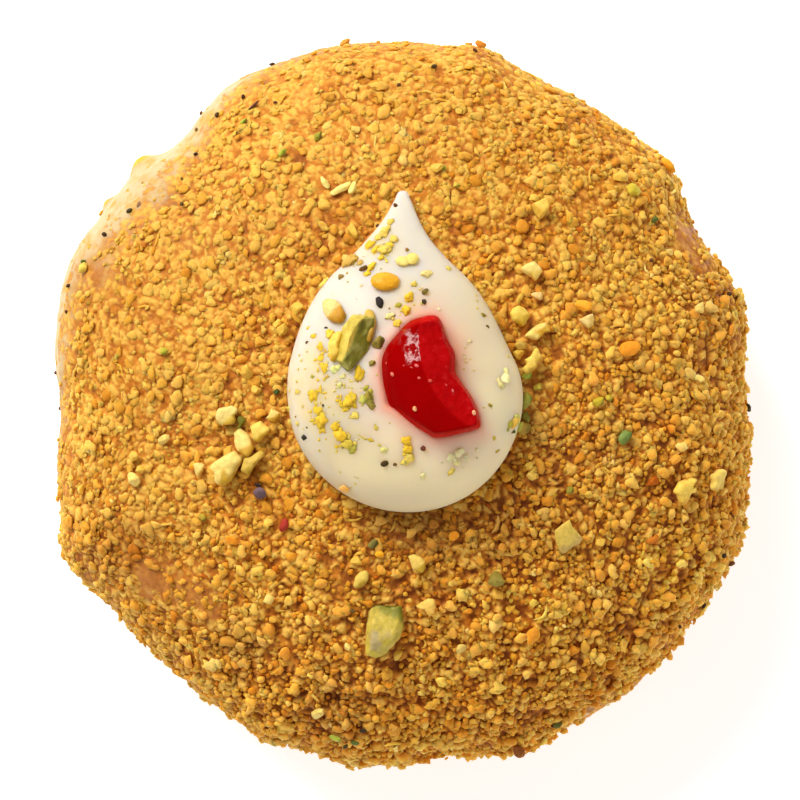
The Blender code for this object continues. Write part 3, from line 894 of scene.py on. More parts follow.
# ------------------------------------------------------------------ the crumbs
class Heap:
    """The height of what already lies on the pastry, on a map unrolled from the top, so that each crumb comes to lie on what is below it."""

    CELL = 0.2

    def __init__(self, reach):
        self.reach = reach
        self.height = np.zeros((int(2 * reach / self.CELL) + 20,) * 2, np.float32)
        self.discs = {}

    def index(self, u, v):
        return int((u + self.reach) / self.CELL) + 10, int((v + self.reach) / self.CELL) + 10

    def under(self, u, v, r):
        i, j = self.index(u, v)
        a = max(int(0.55 * r / self.CELL), 1)
        h = self.height
        return (h[i, j] * 2 + h[i + a, j] + h[i - a, j] + h[i, j + a] + h[i, j - a]) / 6.0

    def drop(self, u, v, r, centre):
        a = int(r / self.CELL) + 1
        if a not in self.discs:
            k = np.arange(-a, a + 1) * self.CELL
            self.discs[a] = k[:, None] ** 2 + k[None] ** 2
        over = r * r - self.discs[a]
        i, j = self.index(u, v)
        window = self.height[i - a : i + a + 1, j - a : j + a + 1]
        np.maximum(window, np.where(over > 0, centre + 0.8 * np.sqrt(np.maximum(over, 0)), 0), out=window)


heap = Heap(76.0)


def coat_chance(s, theta, points):
    """Crumbs keep to the clumps and leave the gaps between them, where the coat is open."""
    return cover_at(s, theta, points) * (1.0 - 0.85 * openness(points) * step(-0.02, -0.34, clump(points)))


def scatter(sizes, sink=0.45, most=1.35, tries=3, where=None):
    """Places for crumbs of these radii: (s, theta, height of the centre), and which of the sizes found one. Each takes the lowest of a few places, so the coat fills evenly."""
    reach = BELT_S + 8.0
    found, done = [], []
    pool, at = np.zeros((0, 2)), 0
    for k, r in enumerate(sizes):
        best, fits = None, 0
        for _ in range(tries * 6):
            if at >= len(pool):
                n = 60000
                s = reach * np.sqrt(rng.random(n))
                theta = rng.random(n) * 2 * np.pi
                # The unrolled map stretches the side, so a place there counts for less.
                true = np.interp(s, PROFILE_S, PROFILE_R) / np.maximum(s, 1.0)
                p = surface(s, theta)
                keep = rng.random(n) < true * (where or coat_chance)(s, theta, p)
                keep &= cream_across(p[:, 0], p[:, 1]) > 1.0 - 1.6 / np.maximum(cream_width(p[:, 1]), 1.7)
                pool, at = np.stack([s[keep], theta[keep]], 1), 0
            s, theta = pool[at]
            at += 1
            u, v = s * math.cos(theta), s * math.sin(theta)
            h = heap.under(u, v, r)
            if h + 0.6 * r > most:
                continue
            fits += 1
            if best is None or h < best[0]:
                best = (h, s, theta, u, v)
            if fits >= tries:
                break
        if best is None:
            continue
        h, s, theta, u, v = best
        centre = h + r * (0.75 - sink)
        heap.drop(u, v, r, centre)
        found.append((s, theta, centre, r))
        done.append(k)
    return np.array(found), np.array(done)


# Crumb colours, from pale to dark toasted, and how common each is.
CRUMB_TONES = (
    (srgb(247, 204, 120), 0.16),
    (srgb(243, 190, 94), 0.33),
    (srgb(235, 173, 72), 0.27),
    (srgb(222, 151, 51), 0.15),
    (srgb(198, 118, 40), 0.06),
    (srgb(150, 82, 30), 0.03),
)


def crumb_colours(points):
    """A tone for each crumb. Neighbours are alike where the coat was toasted alike."""
    tones = np.array([t for t, _ in CRUMB_TONES])
    edges = np.cumsum([w for _, w in CRUMB_TONES])
    edges = edges / edges[-1]
    drift = 0.5 + 0.5 * np.clip(0.9 * layered(points, 12.0, 55) + 0.9 * noise(points, 2.6, 56), -1, 1)
    pick = np.clip(0.5 * rng.random(len(points)) + 0.5 * drift, 0, 0.9999)
    k = np.searchsorted(edges, pick)
    # The coat's drift brings in its painted light and the cream's painted shadow.
    base = tones[k] * toasted(points) * (1 + 0.09 * noise(points, 2.1, 58) + 0.05 * noise(points, 5.5, 59))[:, None]
    return np.clip(base * (1 + 0.04 * rng.normal(size=(len(points), 1))) * (1 + 0.02 * rng.normal(size=(len(points), 3))), 0.01, 0.98)


def coat_swell(points):
    """How far the bed of the coat lies from the outside of the pastry, in mm: under it, and up and down in clumps."""
    return -COAT + 0.15 * layered(points, 8.0, 21) + (0.14 + 0.30 * openness(points)) * clump(points)


SEAT = 0.22  # how far up in the relief of stuck crumbs the loose ones begin


def placed(spots_):
    s, theta, up, r = spots_.T
    at = surface(s, theta)
    n = surface_normal(s, theta)
    cover = cover_at(s, theta, at)
    rim = step(0.90, 0.99, np.interp(s, PROFILE_S, PROFILE_R) / MEAN_RADIUS)
    up = up - 0.52 * (1.0 - openness(at)) - 0.20 * (1.0 - cover) - 0.16 * rim
    return at + n * (up + (coat_swell(at) + SEAT) * cover)[:, None], n, r


def grain_shape():
    """(points, faces) of a plain grain with 10 points: two tips and two turned squares between them."""
    points = [(0, 0, 1.0)]
    points += [(0.9 * math.cos(a), 0.9 * math.sin(a), 0.42) for a in np.arange(4) * math.pi / 2]
    points += [(0.9 * math.cos(a), 0.9 * math.sin(a), -0.42) for a in (np.arange(4) + 0.5) * math.pi / 2]
    points += [(0, 0, -1.0)]
    faces = []
    for k in range(4):
        n = (k + 1) % 4
        faces += [(0, 1 + k, 1 + n), (1 + k, 5 + k, 1 + n), (1 + n, 5 + k, 5 + n), (9, 5 + n, 5 + k)]
    return np.array(points), np.array(faces)


def make_crumbs(name, shape_of, spots_, rough, squash=(0.5, 1.0), lobes=0, look=None, width=0.16, flat=None):
    """Loose crumbs as one joined mesh: each is its own uneven grain. Flat ones lie pressed into the dough."""
    at, normals, r = placed(spots_)
    base, faces = shape_of
    n, k = len(at), len(base)
    radii = 1.0 + rough * rng.uniform(-1, 1, (n, k))
    if lobes:
        for _ in range(lobes):
            way = rng.normal(size=(n, 3))
            way /= np.linalg.norm(way, axis=1, keepdims=True)
            facing = np.einsum("ij,nj->ni", base, way)
            radii += rng.choice([-1.0, 1.0], (n, 1)) * rng.uniform(0.35, 0.7, (n, 1)) * np.exp(-((1 - facing) / width))
    shape = base[None] * np.maximum(radii, 0.35)[..., None]
    shape = shape * rng.uniform(squash[0], squash[1], (n, 1, 3))
    shape = np.einsum("nab,nkb->nka", random_turns(n), shape)
    # Where the coat is a paste the crumbs are pressed flat.
    kept = np.full(n, flat) if flat else 0.30 + 0.65 * openness(at)
    shape = shape - normals[:, None] * ((1 - kept)[:, None] * np.einsum("nka,na->nk", shape, normals))[..., None]
    points = at[:, None] + shape * r[:, None, None]
    # Painted shade: the lower a crumb lies in the coat, and the more open the coat, the darker and redder it is.
    above_painted_shade = step(-0.1, 0.95, spots_[:, 2] + 0.30 * clump(at) + 0.35 * (1.0 - openness(at)))[:, None]
    colours = crumb_colours(at) * (1.0 - (1.0 - above_painted_shade) * (np.array([0.18, 0.38, 0.72]) if not flat else 0.0))
    colours = colours[:, None] * (1.0 + 0.03 * rng.normal(size=(n, k, 1)))
    points, faces = many(points, faces)
    obj = new_piece(name, points, faces, look)
    give_colour(obj, "Tint", np.clip(colours.reshape(-1, 3), 0.01, 0.98))
    give_cells(obj, base, n)
    return obj


def make_shreds(name, count, look):
    """Short bent threads of toasted dough."""
    spots_, _ = scatter(np.full(count, 0.45), sink=0.2, most=1.9)
    at, normals, _ = placed(spots_)
    n = len(at)
    around, along = 6, 6
    length = rng.uniform(1.4, 2.8, n)
    thick = rng.uniform(0.16, 0.27, n)
    bend = rng.normal(0, 0.7, n)
    turn = upright(normals, rng.uniform(0, 2 * np.pi, n))
    t = np.linspace(-1, 1, along)
    ring = np.arange(around) * 2 * np.pi / around
    centre = np.stack([
        t[None] * length[:, None] / 2,
        bend[:, None] * (t[None] ** 2 - 0.33) * 0.5,
        -0.12 * (t[None] ** 2) * length[:, None] * 0.5 + rng.normal(0, 0.06, (n, along)),
    ], -1)
    swell_ = np.sqrt(np.clip(1.02 - t**2, 0.06, 1))[None] * (1 + 0.18 * rng.normal(size=(n, along)))
    offs = np.stack([np.zeros(around), np.cos(ring), np.sin(ring)], -1)
    shape = centre[:, :, None] + (thick[:, None] * swell_)[:, :, None, None] * offs[None, None]
    tips = centre[:, [0, -1]] + np.array([[-0.12, 0, 0], [0.12, 0, 0]])[None]
    shape = np.concatenate([shape.reshape(n, -1, 3), tips], 1)
    faces = []
    for i in range(along - 1):
        for j in range(around):
            a, b = i * around + j, i * around + (j + 1) % around
            faces += [(a, b, b + around), (a, b + around, a + around)]
    last, first_tip = (along - 1) * around, along * around
    for j in range(around):
        faces += [(first_tip, (j + 1) % around, j), (first_tip + 1, last + j, last + (j + 1) % around)]
    faces = np.array(faces)[:, ::-1]
    shape = np.einsum("nab,nkb->nka", turn, shape)
    points = at[:, None] + shape
    k = shape.shape[1]
    flat = np.concatenate([
        np.stack([np.repeat(t, around), np.tile(np.cos(ring) * 0.5 + np.sin(ring) * 0.3, along)], 1),
        [[-1, 0], [1, 0]],
    ])
    points, faces = many(points, faces)
    obj = new_piece(name, points, faces, look)
    colours = np.clip(crumb_colours(at) * 1.06, 0.01, 0.98)
    give_colour(obj, "Tint", np.repeat(colours, k, 0))
    give_map(obj, cell_map(np.broadcast_to(flat, (n, k, 2)), n))
    return obj


def loose_at_edge(s, theta, points):
    """Where single fine grains stick to the dough below the coat's edge."""
    below = edge_height(theta) + 1.0 - points[:, 2]
    patchy = step(-0.3, 0.5, noise(points, 3.0, 57))
    return np.where(below > -2.0, np.exp(-np.maximum(below, 0) / 3.4), 0.0) * (0.35 + 0.65 * patchy)


# ------------------------------------------------------------------ the cream
def make_cream():
    """The teardrop: a sphere drawn to its cross-sections, with a rounded foot, pressed in under the cherry."""
    around, along = 150, 180
    low = CREAM_Y - CREAM_R
    beta = np.linspace(0, np.pi, along + 1)[1:-1]
    ys = low + (TIP_Y - low) * (1 - np.cos(beta)) / 2
    phi = np.arange(around) * 2 * np.pi / around
    y = np.repeat(ys, around)
    u, v = np.tile(np.cos(phi), along - 1), np.tile(np.sin(phi), along - 1)
    wide, tall, crest = cream_width(y), cream_height(y), smooth_through(CREST_X, y)
    lip = np.minimum(CREAM_LIP, 0.35 * tall)
    tuck = np.minimum(CREAM_TUCK, 0.3 * wide)
    # The lower half first rounds under in a quarter turn, then runs flat to the middle.
    t = np.clip(np.abs(v) * 3.0, 0, 1)
    under_x = (wide - tuck * (1 - np.sqrt(1 - t**2))) * np.where(t < 1, 1.0, np.abs(u) / math.sqrt(1 - 1 / 9)) * np.sign(u)
    x = crest + np.where(v >= 0, wide * u, under_x)
    over = lip + (tall - lip) * (1 - np.abs(u) ** CREAM_POWER) ** (1 / CREAM_POWER)
    z = dome_z(x, y) + GAP + np.where(v >= 0, over, lip * (1 - t))
    points = np.stack([x, y, z], 1)
    soft = layered(points, 9.0, 61, 2)
    points[:, 2] += np.where(v >= 0, 0.16 * soft * np.minimum(v * 3, 1), 0)
    out = cherry_outside(x, y)
    press = np.where(v > 0, 1.0, 0.0)
    points[:, 2] -= press * 3.2 * step(0.15, 1.5, -out)
    points[:, 2] += press * 0.30 * np.exp(-((np.maximum(out, 0) / 1.1) ** 2)) * step(-0.4, 0.1, out)
    ends_y = np.array([low, TIP_Y])
    ends_x = smooth_through(CREST_X, ends_y)
    ends = np.stack([ends_x, ends_y, dome_z(ends_x, ends_y) + GAP + 0.2], 1)
    points = np.concatenate([points, ends])
    i, j = np.meshgrid(np.arange(along - 2), np.arange(around), indexing="ij")
    a, b = i * around + j, i * around + (j + 1) % around
    quads = np.stack([a, a + around, b + around, b], -1).reshape(-1, 4)
    tris = np.concatenate([quads[:, [0, 1, 2]], quads[:, [0, 2, 3]]])
    k = np.arange(around)
    last = (along - 2) * around
    caps = np.concatenate([
        np.stack([np.full(around, len(points) - 2), k, (k + 1) % around], 1),
        np.stack([np.full(around, len(points) - 1), last + (k + 1) % around, last + k], 1),
    ])
    cream = new_piece("cream_fine", points, np.concatenate([tris, caps])[:, ::-1], cream_look())
    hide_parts("cream")
    out = cherry_outside(points[:, 0], points[:, 1])
    wobble = 0.35 * noise(points, 2.5, 71)
    around_it = np.degrees(np.arctan2(points[:, 1] - CHERRY_AT[1], points[:, 0] - CHERRY_AT[0]))
    wide_stain = 1.1 + 0.55 * bell(turned(around_it, 50), 40) + 0.6 * bell(turned(around_it, 290), 30)
    stain = 0.70 * np.exp(-((np.maximum(out + 0.1, 0) / (wide_stain + wobble)) ** 1.3))
    give_number(cream, "Stain", np.where(points[:, 2] > 30, stain, 0))
    # A lighter pink below the cherry: a pink tint, and painted light in the cherry's shadow.
    pink_painted_light = 0.6 * np.exp(-((np.maximum(out, 0) / 4.2) ** 2)) * (0.15 + 0.85 * bell(turned(around_it, 255), 85))
    give_number(cream, "PinkPaintedLight", np.where(points[:, 2] > 30, pink_painted_light, 0))
    # Painted light: the cream is lighter towards the lower right, where it lies in shade, and its level part round the
    # cherry is the palest below it and at its right.
    level_part = step(0.5, -4.5, 0.9 * points[:, 1] - 0.35 * points[:, 0]) * (1 - step(0.62, 0.93, cream_across(points[:, 0], points[:, 1]))) * (1 - step(-9.0, -13.6, points[:, 1]))
    give_number(cream, "PaintedLight", np.clip(0.42 + 0.030 * (0.7 * points[:, 0] - 0.7 * (points[:, 1] - 1.0)) + 0.34 * level_part + 0.08 * layered(points, 8.0, 62), 0, 1))
    oil = np.zeros(len(points))
    for px, py, sx, sy, grains, _, _ in DUST:
        cx, cy = spot(px, py)
        off_x, off_y = (points[:, 0] - cx) / (1.1 * sx / PX_MM + 0.7), (points[:, 1] - cy) / (1.1 * sy / PX_MM + 0.7)
        oil += min(grains / 14.0, 0.8) * bell(np.hypot(off_x, off_y), 1.0)
    oil = np.minimum(oil, 0.75) * (0.75 + 0.5 * noise(points, 1.6, 73))
    give_number(cream, "Oil", np.where(points[:, 2] > 30, np.clip(oil, 0, 0.7), 0))
    return cream


# ------------------------------------------------------------------ the cherry
def make_cherry():
    around, rings = 170, 66
    shares = np.concatenate([np.linspace(0, 1, rings)[1:] ** 0.62, [1.0, 0.985, 0.9, 0.7, 0.4]])
    lower = np.concatenate([np.zeros(rings - 1), [0.45, 0.9, 1.0, 1.0, 1.0]])
    bearings = np.arange(around) * 360.0 / around
    radius = cherry_radius(bearings)
    points = []
    for k, (share, down) in enumerate(zip(shares, lower)):
        x = CHERRY_AT[0] + share * radius * np.cos(np.radians(bearings))
        y = CHERRY_AT[1] + share * radius * np.sin(np.radians(bearings))
        edge_z = cherry_shape(
            CHERRY_AT[0] + radius * np.cos(np.radians(bearings)), CHERRY_AT[1] + radius * np.sin(np.radians(bearings)), np.zeros(around)
        )
        z = cherry_shape(x, y, (1 - share) * radius) if down == 0 else edge_z * (1 - down) - 0.9 * down
        points.append(np.stack([x, y, CHERRY_LEVEL + z], 1))
    points = np.concatenate(points)
    top = np.array([[*CHERRY_AT, CHERRY_LEVEL + float(cherry_shape(*CHERRY_AT, 5.0))]])
    bottom = np.array([[*CHERRY_AT, CHERRY_LEVEL - 1.0]])
    count = len(points)
    points = np.concatenate([points, top, bottom])
    upper = np.repeat(lower == 0, around)
    upper = np.concatenate([upper, [True, False]])
    ridge = past_ridge(points[:, 0], points[:, 1])
    cut = 1 - step(-0.15, 0.35, ridge)
    wave = 0.08 * noise(points, 3.6, 81) + (0.10 * noise(points, 1.3, 82) + 0.05 * noise(points, 0.6, 83)) * cut
    shine = (1 - cut) * np.exp(-((ridge - 0.9) ** 2) / 2.2) * step(2.0, 4.5, points[:, 1])
    wave = wave + (0.040 * noise(points, 0.75, 84) + 0.016 * noise(points, 0.42, 85)) * shine
    points[:, 2] += np.where(upper, wave, 0)
    angles = np.radians(bearings)
    table = [(k * around, angles) for k in range(len(shares))]
    faces = rings_mesh(table, count, count + 1)
    cherry = new_piece("cherry_fine", points, faces, cherry_look("cherry_red", 1.05))
    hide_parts("cherry")
    cherry.data.materials.append(cherry_look("cherry_wet", 1.42))
    mid = points[faces].mean(axis=1)
    beside = past_ridge(mid[:, 0], mid[:, 1])
    streak = noise(mid * np.array([2.4, 0.9, 0.0]), 1.1, 86) + 0.55 * noise(mid, 0.34, 87)
    wet = (beside > 0.12) & (beside < 2.5 + 0.5 * noise(mid, 0.8, 88)) & (mid[:, 1] > 5.3 + 0.5 * noise(mid, 0.6, 89)) & (mid[:, 1] < 9.9) & (mid[:, 2] > CHERRY_LEVEL + 0.5)
    wet &= streak > -0.22
    cherry.data.polygons.foreach_set("material_index", wet.astype(np.int32))
    inside = -cherry_outside(points[:, 0], points[:, 1])
    at = np.degrees(np.arctan2(points[:, 1] - CHERRY_AT[1], points[:, 0] - CHERRY_AT[0])) % 360
    # Paler edges: cut flesh, and painted light shining through the cherry at its thin edges.
    straight = np.clip(bell(turned(at, 255), 50) + 0.35 * bell(turned(at, 95), 26) + 0.7 * bell(turned(at, 345), 34), 0, 1)
    give_number(cherry, "CutEdgeAndPaintedGlow", (1 - step(0.30, 0.85, inside)) * straight)
    give_number(cherry, "Cut", cut)
    rho = np.append(np.repeat(np.where(lower == 0, 0.42 * shares, 0.42 + 0.06 * (np.arange(len(shares)) - rings + 2) / 5), around), [0.0, 0.0])
    turns = np.append(np.tile(angles, len(shares)), [0.0, 0.0])
    give_map(cherry, 0.5 + rho[:, None] * np.stack([np.cos(turns), np.sin(turns)], 1), [len(points) - 1], 0.495)
    return cherry


# ------------------------------------------------------------------ nuts, dust and seeds
PALE_NUT = srgb(236, 204, 108)
YELLOW_NUT = srgb(234, 188, 72)
GREEN_NUT = srgb(176, 186, 60)
DARK_GREEN = srgb(92, 104, 30)
OLIVE = srgb(150, 132, 50)
ORANGE = srgb(240, 158, 44)
AMBER = srgb(226, 160, 40)
BLACK = srgb(66, 40, 16)
BROWN = srgb(96, 58, 30)
PURPLE = srgb(116, 92, 100)
RED_BROWN = srgb(170, 50, 34)

# (pixel x, y, length px, width px, bearing of the length in degrees, thickness over width, colour)
CHUNKS = (
    (162, 440, 18, 9, 25, 0.7, PALE_NUT), (133, 452, 13, 12, 0, 0.8, YELLOW_NUT), (136, 469, 11, 9, 0, 0.8, YELLOW_NUT),
    (131, 482, 17, 13, 160, 0.7, PALE_NUT), (76, 489, 12, 10, 80, 0.7, YELLOW_NUT), (318, 716, 20, 12, 60, 0.6, PALE_NUT),
    (357, 562, 12, 10, 20, 0.7, YELLOW_NUT), (520, 298, 12, 6, 50, 0.7, YELLOW_NUT), (538, 298, 13, 10, 0, 0.7, srgb(236, 198, 122)),
    (521, 347, 14, 12, 20, 0.7, srgb(216, 180, 84)),
    (521, 352, 14, 12, 60, 0.7, YELLOW_NUT), (543, 209, 20, 17, 100, 0.7, YELLOW_NUT), (534, 198, 13, 11, 0, 0.7, YELLOW_NUT),
    (353, 227, 19, 10, 120, 0.7, YELLOW_NUT), (295, 307, 13, 11, 40, 0.7, YELLOW_NUT), (286, 332, 15, 11, 60, 0.7, YELLOW_NUT),
    (247, 370, 15, 13, 80, 0.7, YELLOW_NUT), (277, 322, 11, 9, 60, 0.7, YELLOW_NUT), (700, 307, 12, 10, 90, 0.7, PALE_NUT),
    (437, 163, 15, 11, 30, 0.6, YELLOW_NUT), (497, 579, 18, 16, 0, 0.6, OLIVE), (503, 377, 21, 14, 65, 0.5, srgb(250, 238, 170)),
    (513, 423, 16, 13, 40, 0.6, YELLOW_NUT), (270, 596, 12, 11, 0, 0.7, PALE_NUT), (591, 497, 10, 8, 0, 0.7, YELLOW_NUT),
    (600, 545, 12, 9, 20, 0.7, YELLOW_NUT), (624, 178, 20, 15, 20, 0.7, YELLOW_NUT), (633, 190, 17, 13, 150, 0.7, srgb(214, 190, 50)),
    (646, 214, 12, 9, 60, 0.7, YELLOW_NUT), (85, 268, 15, 12, 90, 0.7, srgb(226, 196, 80)), (254, 393, 11, 10, 0, 0.7, YELLOW_NUT),
    (341, 189, 24, 9, 30, 0.8, srgb(250, 226, 130)), (324, 181, 15, 8, 120, 0.8, srgb(250, 226, 130)), (352, 187, 15, 8, 60, 0.8, srgb(250, 226, 130)),
    (640, 470, 11, 9, 0, 0.7, YELLOW_NUT), (462, 648, 12, 10, 30, 0.7, PALE_NUT), (395, 655, 12, 9, 60, 0.7, YELLOW_NUT),
)
# Pieces with an outline of their own: (corners in pixels, thickness over width, colour of the lit side, colour of the
# side away from the light, which is painted shade).
OUTLINED = (
    (((215, 415.5), (217.6, 410), (223.3, 408.3), (231.3, 407), (237, 409), (237.6, 413), (233.6, 416.6), (235.3, 421.8), (232.5, 425), (226.7, 426), (221, 427), (217, 424), (214.5, 419.5)), 0.7, srgb(250, 232, 140), srgb(240, 208, 80)),
    (((234.2, 413.2), (238.8, 413.8), (242.2, 417.2), (240, 420.7), (237.6, 424.1), (235.4, 428.7), (232.5, 429.9), (231.9, 426.4), (235, 421.8), (233.1, 417.2)), 0.8, srgb(120, 120, 20), srgb(64, 60, 12)),
    (((238.2, 428), (242.2, 430), (246.8, 433), (250.5, 437), (252.6, 442.5), (254.5, 447), (252.6, 453), (248.6, 457.5), (245, 455), (241.7, 453), (238, 451), (235.4, 447.6), (233.6, 442), (234.2, 437.3), (232.3, 433.3), (235.4, 431)), 0.7, srgb(248, 224, 128), srgb(226, 182, 62)),
    (((248, 424.7), (253, 421.8), (259, 419.3), (263.5, 423), (269.4, 427), (267, 431.6), (263, 434.4), (259.5, 439), (255, 440.5), (252, 438), (250.9, 433.9), (249.5, 429.3)), 0.7, srgb(250, 226, 108), srgb(222, 180, 44)),
    (((210, 467), (217.6, 460.5), (224.4, 456), (231.3, 452.5), (236.5, 450.3), (239, 454), (244.2, 458), (243, 462.6), (239, 468), (236, 474), (233.6, 479.2), (230, 483.5), (224.4, 486), (218.5, 485.4), (215.5, 481.5), (216, 476.4), (215, 471.8), (211.5, 470)), 0.6, srgb(252, 232, 132), srgb(214, 172, 40)),
    (((245, 458), (251, 456), (256.6, 452.6), (261.2, 449.6), (266.6, 452.8), (264.6, 456.5), (260, 459.4), (257.4, 463.7), (254, 468), (251.6, 472.3), (249.7, 476), (246, 473), (241.5, 470), (243.4, 464)), 0.7, srgb(224, 196, 86), srgb(192, 158, 38)),
    (((192, 463.7), (197.5, 462), (204, 464.3), (202.3, 470), (200, 474.1), (197.5, 477.8), (194.4, 474.1), (193.2, 468.3)), 0.6, srgb(250, 226, 130), srgb(232, 190, 80)),
    (((270.4, 407.3), (274.4, 409), (279.2, 411.5), (278.6, 416.6), (275, 420.3), (271.5, 421), (264.4, 417.2), (268, 414.2)), 0.7, srgb(250, 228, 130), srgb(222, 174, 44)),
    (((520, 268.3), (526.8, 263.2), (534, 260.4), (540.3, 266), (543.2, 270.5), (539.5, 276), (535.7, 280.8), (532.8, 277), (526.8, 274.4), (523, 271.6)), 0.6, srgb(252, 234, 138), srgb(244, 214, 100)),
    (((506.5, 310.7), (509.8, 305.2), (516, 302.4), (521.4, 305.2), (525.2, 309.8), (527, 312.5), (523.4, 319.8), (519.6, 323.2), (515, 320.8), (509.6, 318)), 0.8, srgb(246, 220, 96), srgb(224, 186, 52)),
    (((575.5, 318.8), (584, 314), (590.4, 311.2), (592.3, 318), (590.4, 324.3), (585.7, 327.6), (581, 323.4)), 0.5, srgb(242, 222, 142), srgb(228, 198, 104)),
    (((521.6, 338.6), (530.2, 330.2), (537.5, 325.6), (544.6, 323.4), (549.4, 327.7), (549.4, 333.2), (544.6, 333.4), (540.3, 337.8), (535, 342.4), (528.4, 340.6)), 0.7, srgb(250, 228, 124), srgb(228, 180, 44)),
    (((523.8, 359.8), (530.4, 356), (533, 349), (537.5, 347.8), (538.6, 352.7), (541, 357.2), (538.6, 361.8), (536, 364), (536, 369), (529.5, 372.6), (525, 375.4), (519.2, 369), (525.5, 365)), 0.7, srgb(246, 220, 100), srgb(210, 166, 44)),
    (((675.2, 481.2), (679.5, 480.6), (683.6, 481.2), (687.7, 479.6), (692, 479), (692, 482), (687.9, 484.8), (686.8, 487.4), (690, 488), (692.6, 490.6), (691, 493.5), (687.3, 493), (685.3, 495.8), (683.8, 500.5), (681.2, 505), (679, 507.2), (675.2, 503), (673.2, 499), (672, 495.4), (668, 492.8), (669, 489.5), (672.2, 485.3)), 0.6, srgb(252, 222, 96), srgb(244, 196, 70)),
    (((708.4, 473.2), (712.7, 472.6), (716.2, 470), (721.4, 468.9), (726.3, 471), (724.1, 474.8), (723.6, 478.9), (723, 483), (724.1, 486.6), (722, 489.9), (717.8, 489.4), (714.2, 491), (708.3, 489.9), (707.2, 486.5), (709.4, 482.4), (707.8, 477.2)), 0.6, srgb(250, 226, 112), srgb(238, 204, 84)),
    (((406.4, 555.4), (412.7, 553.9), (419, 556.6), (423.8, 561.3), (423.8, 567.8), (421.3, 572.6), (416.5, 572.5), (411, 568.6), (408.7, 563)), 0.7, srgb(250, 222, 112), srgb(218, 180, 42)),
    (((354.4, 577.5), (359.8, 572), (366.2, 569.6), (369, 573.7), (367.8, 580.8), (363.1, 585.5), (357, 588.7), (352.8, 587), (354, 582.1)), 0.7, srgb(238, 214, 100), srgb(196, 162, 44)),
    (((411.6, 604.3), (418.8, 599.5), (425, 595.6), (431.3, 596.4), (432.6, 603.6), (430.5, 610.6), (426.5, 614.3), (422.5, 610.5), (421, 607), (415.8, 606.2)), 0.5, srgb(248, 216, 106), srgb(238, 196, 88)),
    (((553.6, 529), (562, 522), (569.5, 517.3), (571, 524), (577, 531), (583.8, 538), (580, 543.5), (573, 546.5), (565, 553.6), (560, 551.5), (557, 545), (554.5, 538)), 0.28, srgb(238, 212, 96), srgb(224, 196, 108)),
    (((323, 299), (326.5, 297.3), (332.2, 298.4), (338, 300.8), (342.6, 305.5), (345.6, 311.2), (348.5, 318), (347.3, 323.4), (342.6, 327), (338, 325.3), (333.9, 324.2), (328.7, 319.4), (325.1, 313), (323.4, 307.2)), 0.5, srgb(246, 222, 140), srgb(208, 158, 40)),
    (((364.9, 311.8), (368.9, 308.6), (373.8, 311), (375.6, 315.8), (376.9, 322), (375.2, 330.2), (373.4, 339), (370.3, 345.5), (367.6, 344), (366.4, 336), (365.9, 324.4), (365.3, 317.5)), 0.9, srgb(218, 190, 78), srgb(196, 154, 44)),
    (((331.4, 339.9), (336.7, 334), (341.4, 332.2), (347.4, 333.4), (345, 340.5), (342.7, 346.2), (342.2, 350.8), (343.9, 353.1), (341, 358), (336.9, 361.4), (332.6, 363.8), (330.9, 356), (330.3, 348.5), (329.6, 342.8)), 0.9, srgb(248, 220, 96), srgb(236, 190, 50)),
    (((326, 336), (329, 331.5), (334, 332), (337, 335.5), (333, 339), (329, 339.5)), 0.8, srgb(246, 216, 70), srgb(212, 168, 30)),
    (((333, 366.5), (336, 365), (340, 366), (340.5, 369), (337, 371), (333.5, 370)), 0.8, srgb(244, 236, 140), srgb(220, 210, 90)),
)
GREENS = (
    (626, 438, 17, 13, 60, 0.6, srgb(120, 140, 60)),
    (334, 739, 14, 9, 0, 0.6, GREEN_NUT), (355, 742, 9, 7, 0, 0.7, DARK_GREEN), (242, 115, 9, 6, 30, 0.7, GREEN_NUT),
    (314, 133, 12, 8, 60, 0.7, srgb(160, 150, 40)), (283, 150, 10, 7, 20, 0.7, GREEN_NUT), (163, 353, 9, 8, 0, 0.7, srgb(190, 180, 50)),
    (658, 219, 9, 7, 70, 0.7, DARK_GREEN), (524, 428, 15, 12, 60, 0.7, srgb(190, 150, 50)), (529, 400, 20, 12, 80, 0.7, srgb(170, 166, 62)),
    (531, 377, 12, 10, 40, 0.7, GREEN_NUT), (528, 415, 13, 9, 100, 0.7, srgb(150, 140, 50)), (440, 163, 10, 7, 0, 0.7, GREEN_NUT),
    (568, 490, 10, 8, 40, 0.7, srgb(150, 140, 44)), (276, 395, 8, 7, 0, 0.7, srgb(70, 84, 30)), (371, 542, 12, 8, 40, 0.7, srgb(130, 120, 50)),
    (378, 343, 15, 12, 60, 0.8, OLIVE), (372, 363, 8, 7, 0, 0.8, OLIVE), (369, 398, 15, 11, 80, 0.7, srgb(170, 150, 52)),
    (557, 724, 10, 8, 0, 0.7, srgb(110, 110, 40)), (352, 262, 17, 10, 0, 0.6, srgb(190, 150, 72)), (84, 262, 7, 6, 0, 0.8, DARK_GREEN),
    (600, 402, 14, 10, 30, 0.6, srgb(200, 176, 40)), (612, 398, 10, 8, 0, 0.6, srgb(206, 180, 50)), (205, 520, 10, 8, 0, 0.6, srgb(180, 150, 40)),
    (455, 182, 9, 7, 0, 0.7, srgb(210, 180, 60)), (536, 388, 10, 8, 20, 0.7, srgb(200, 180, 60)),
)
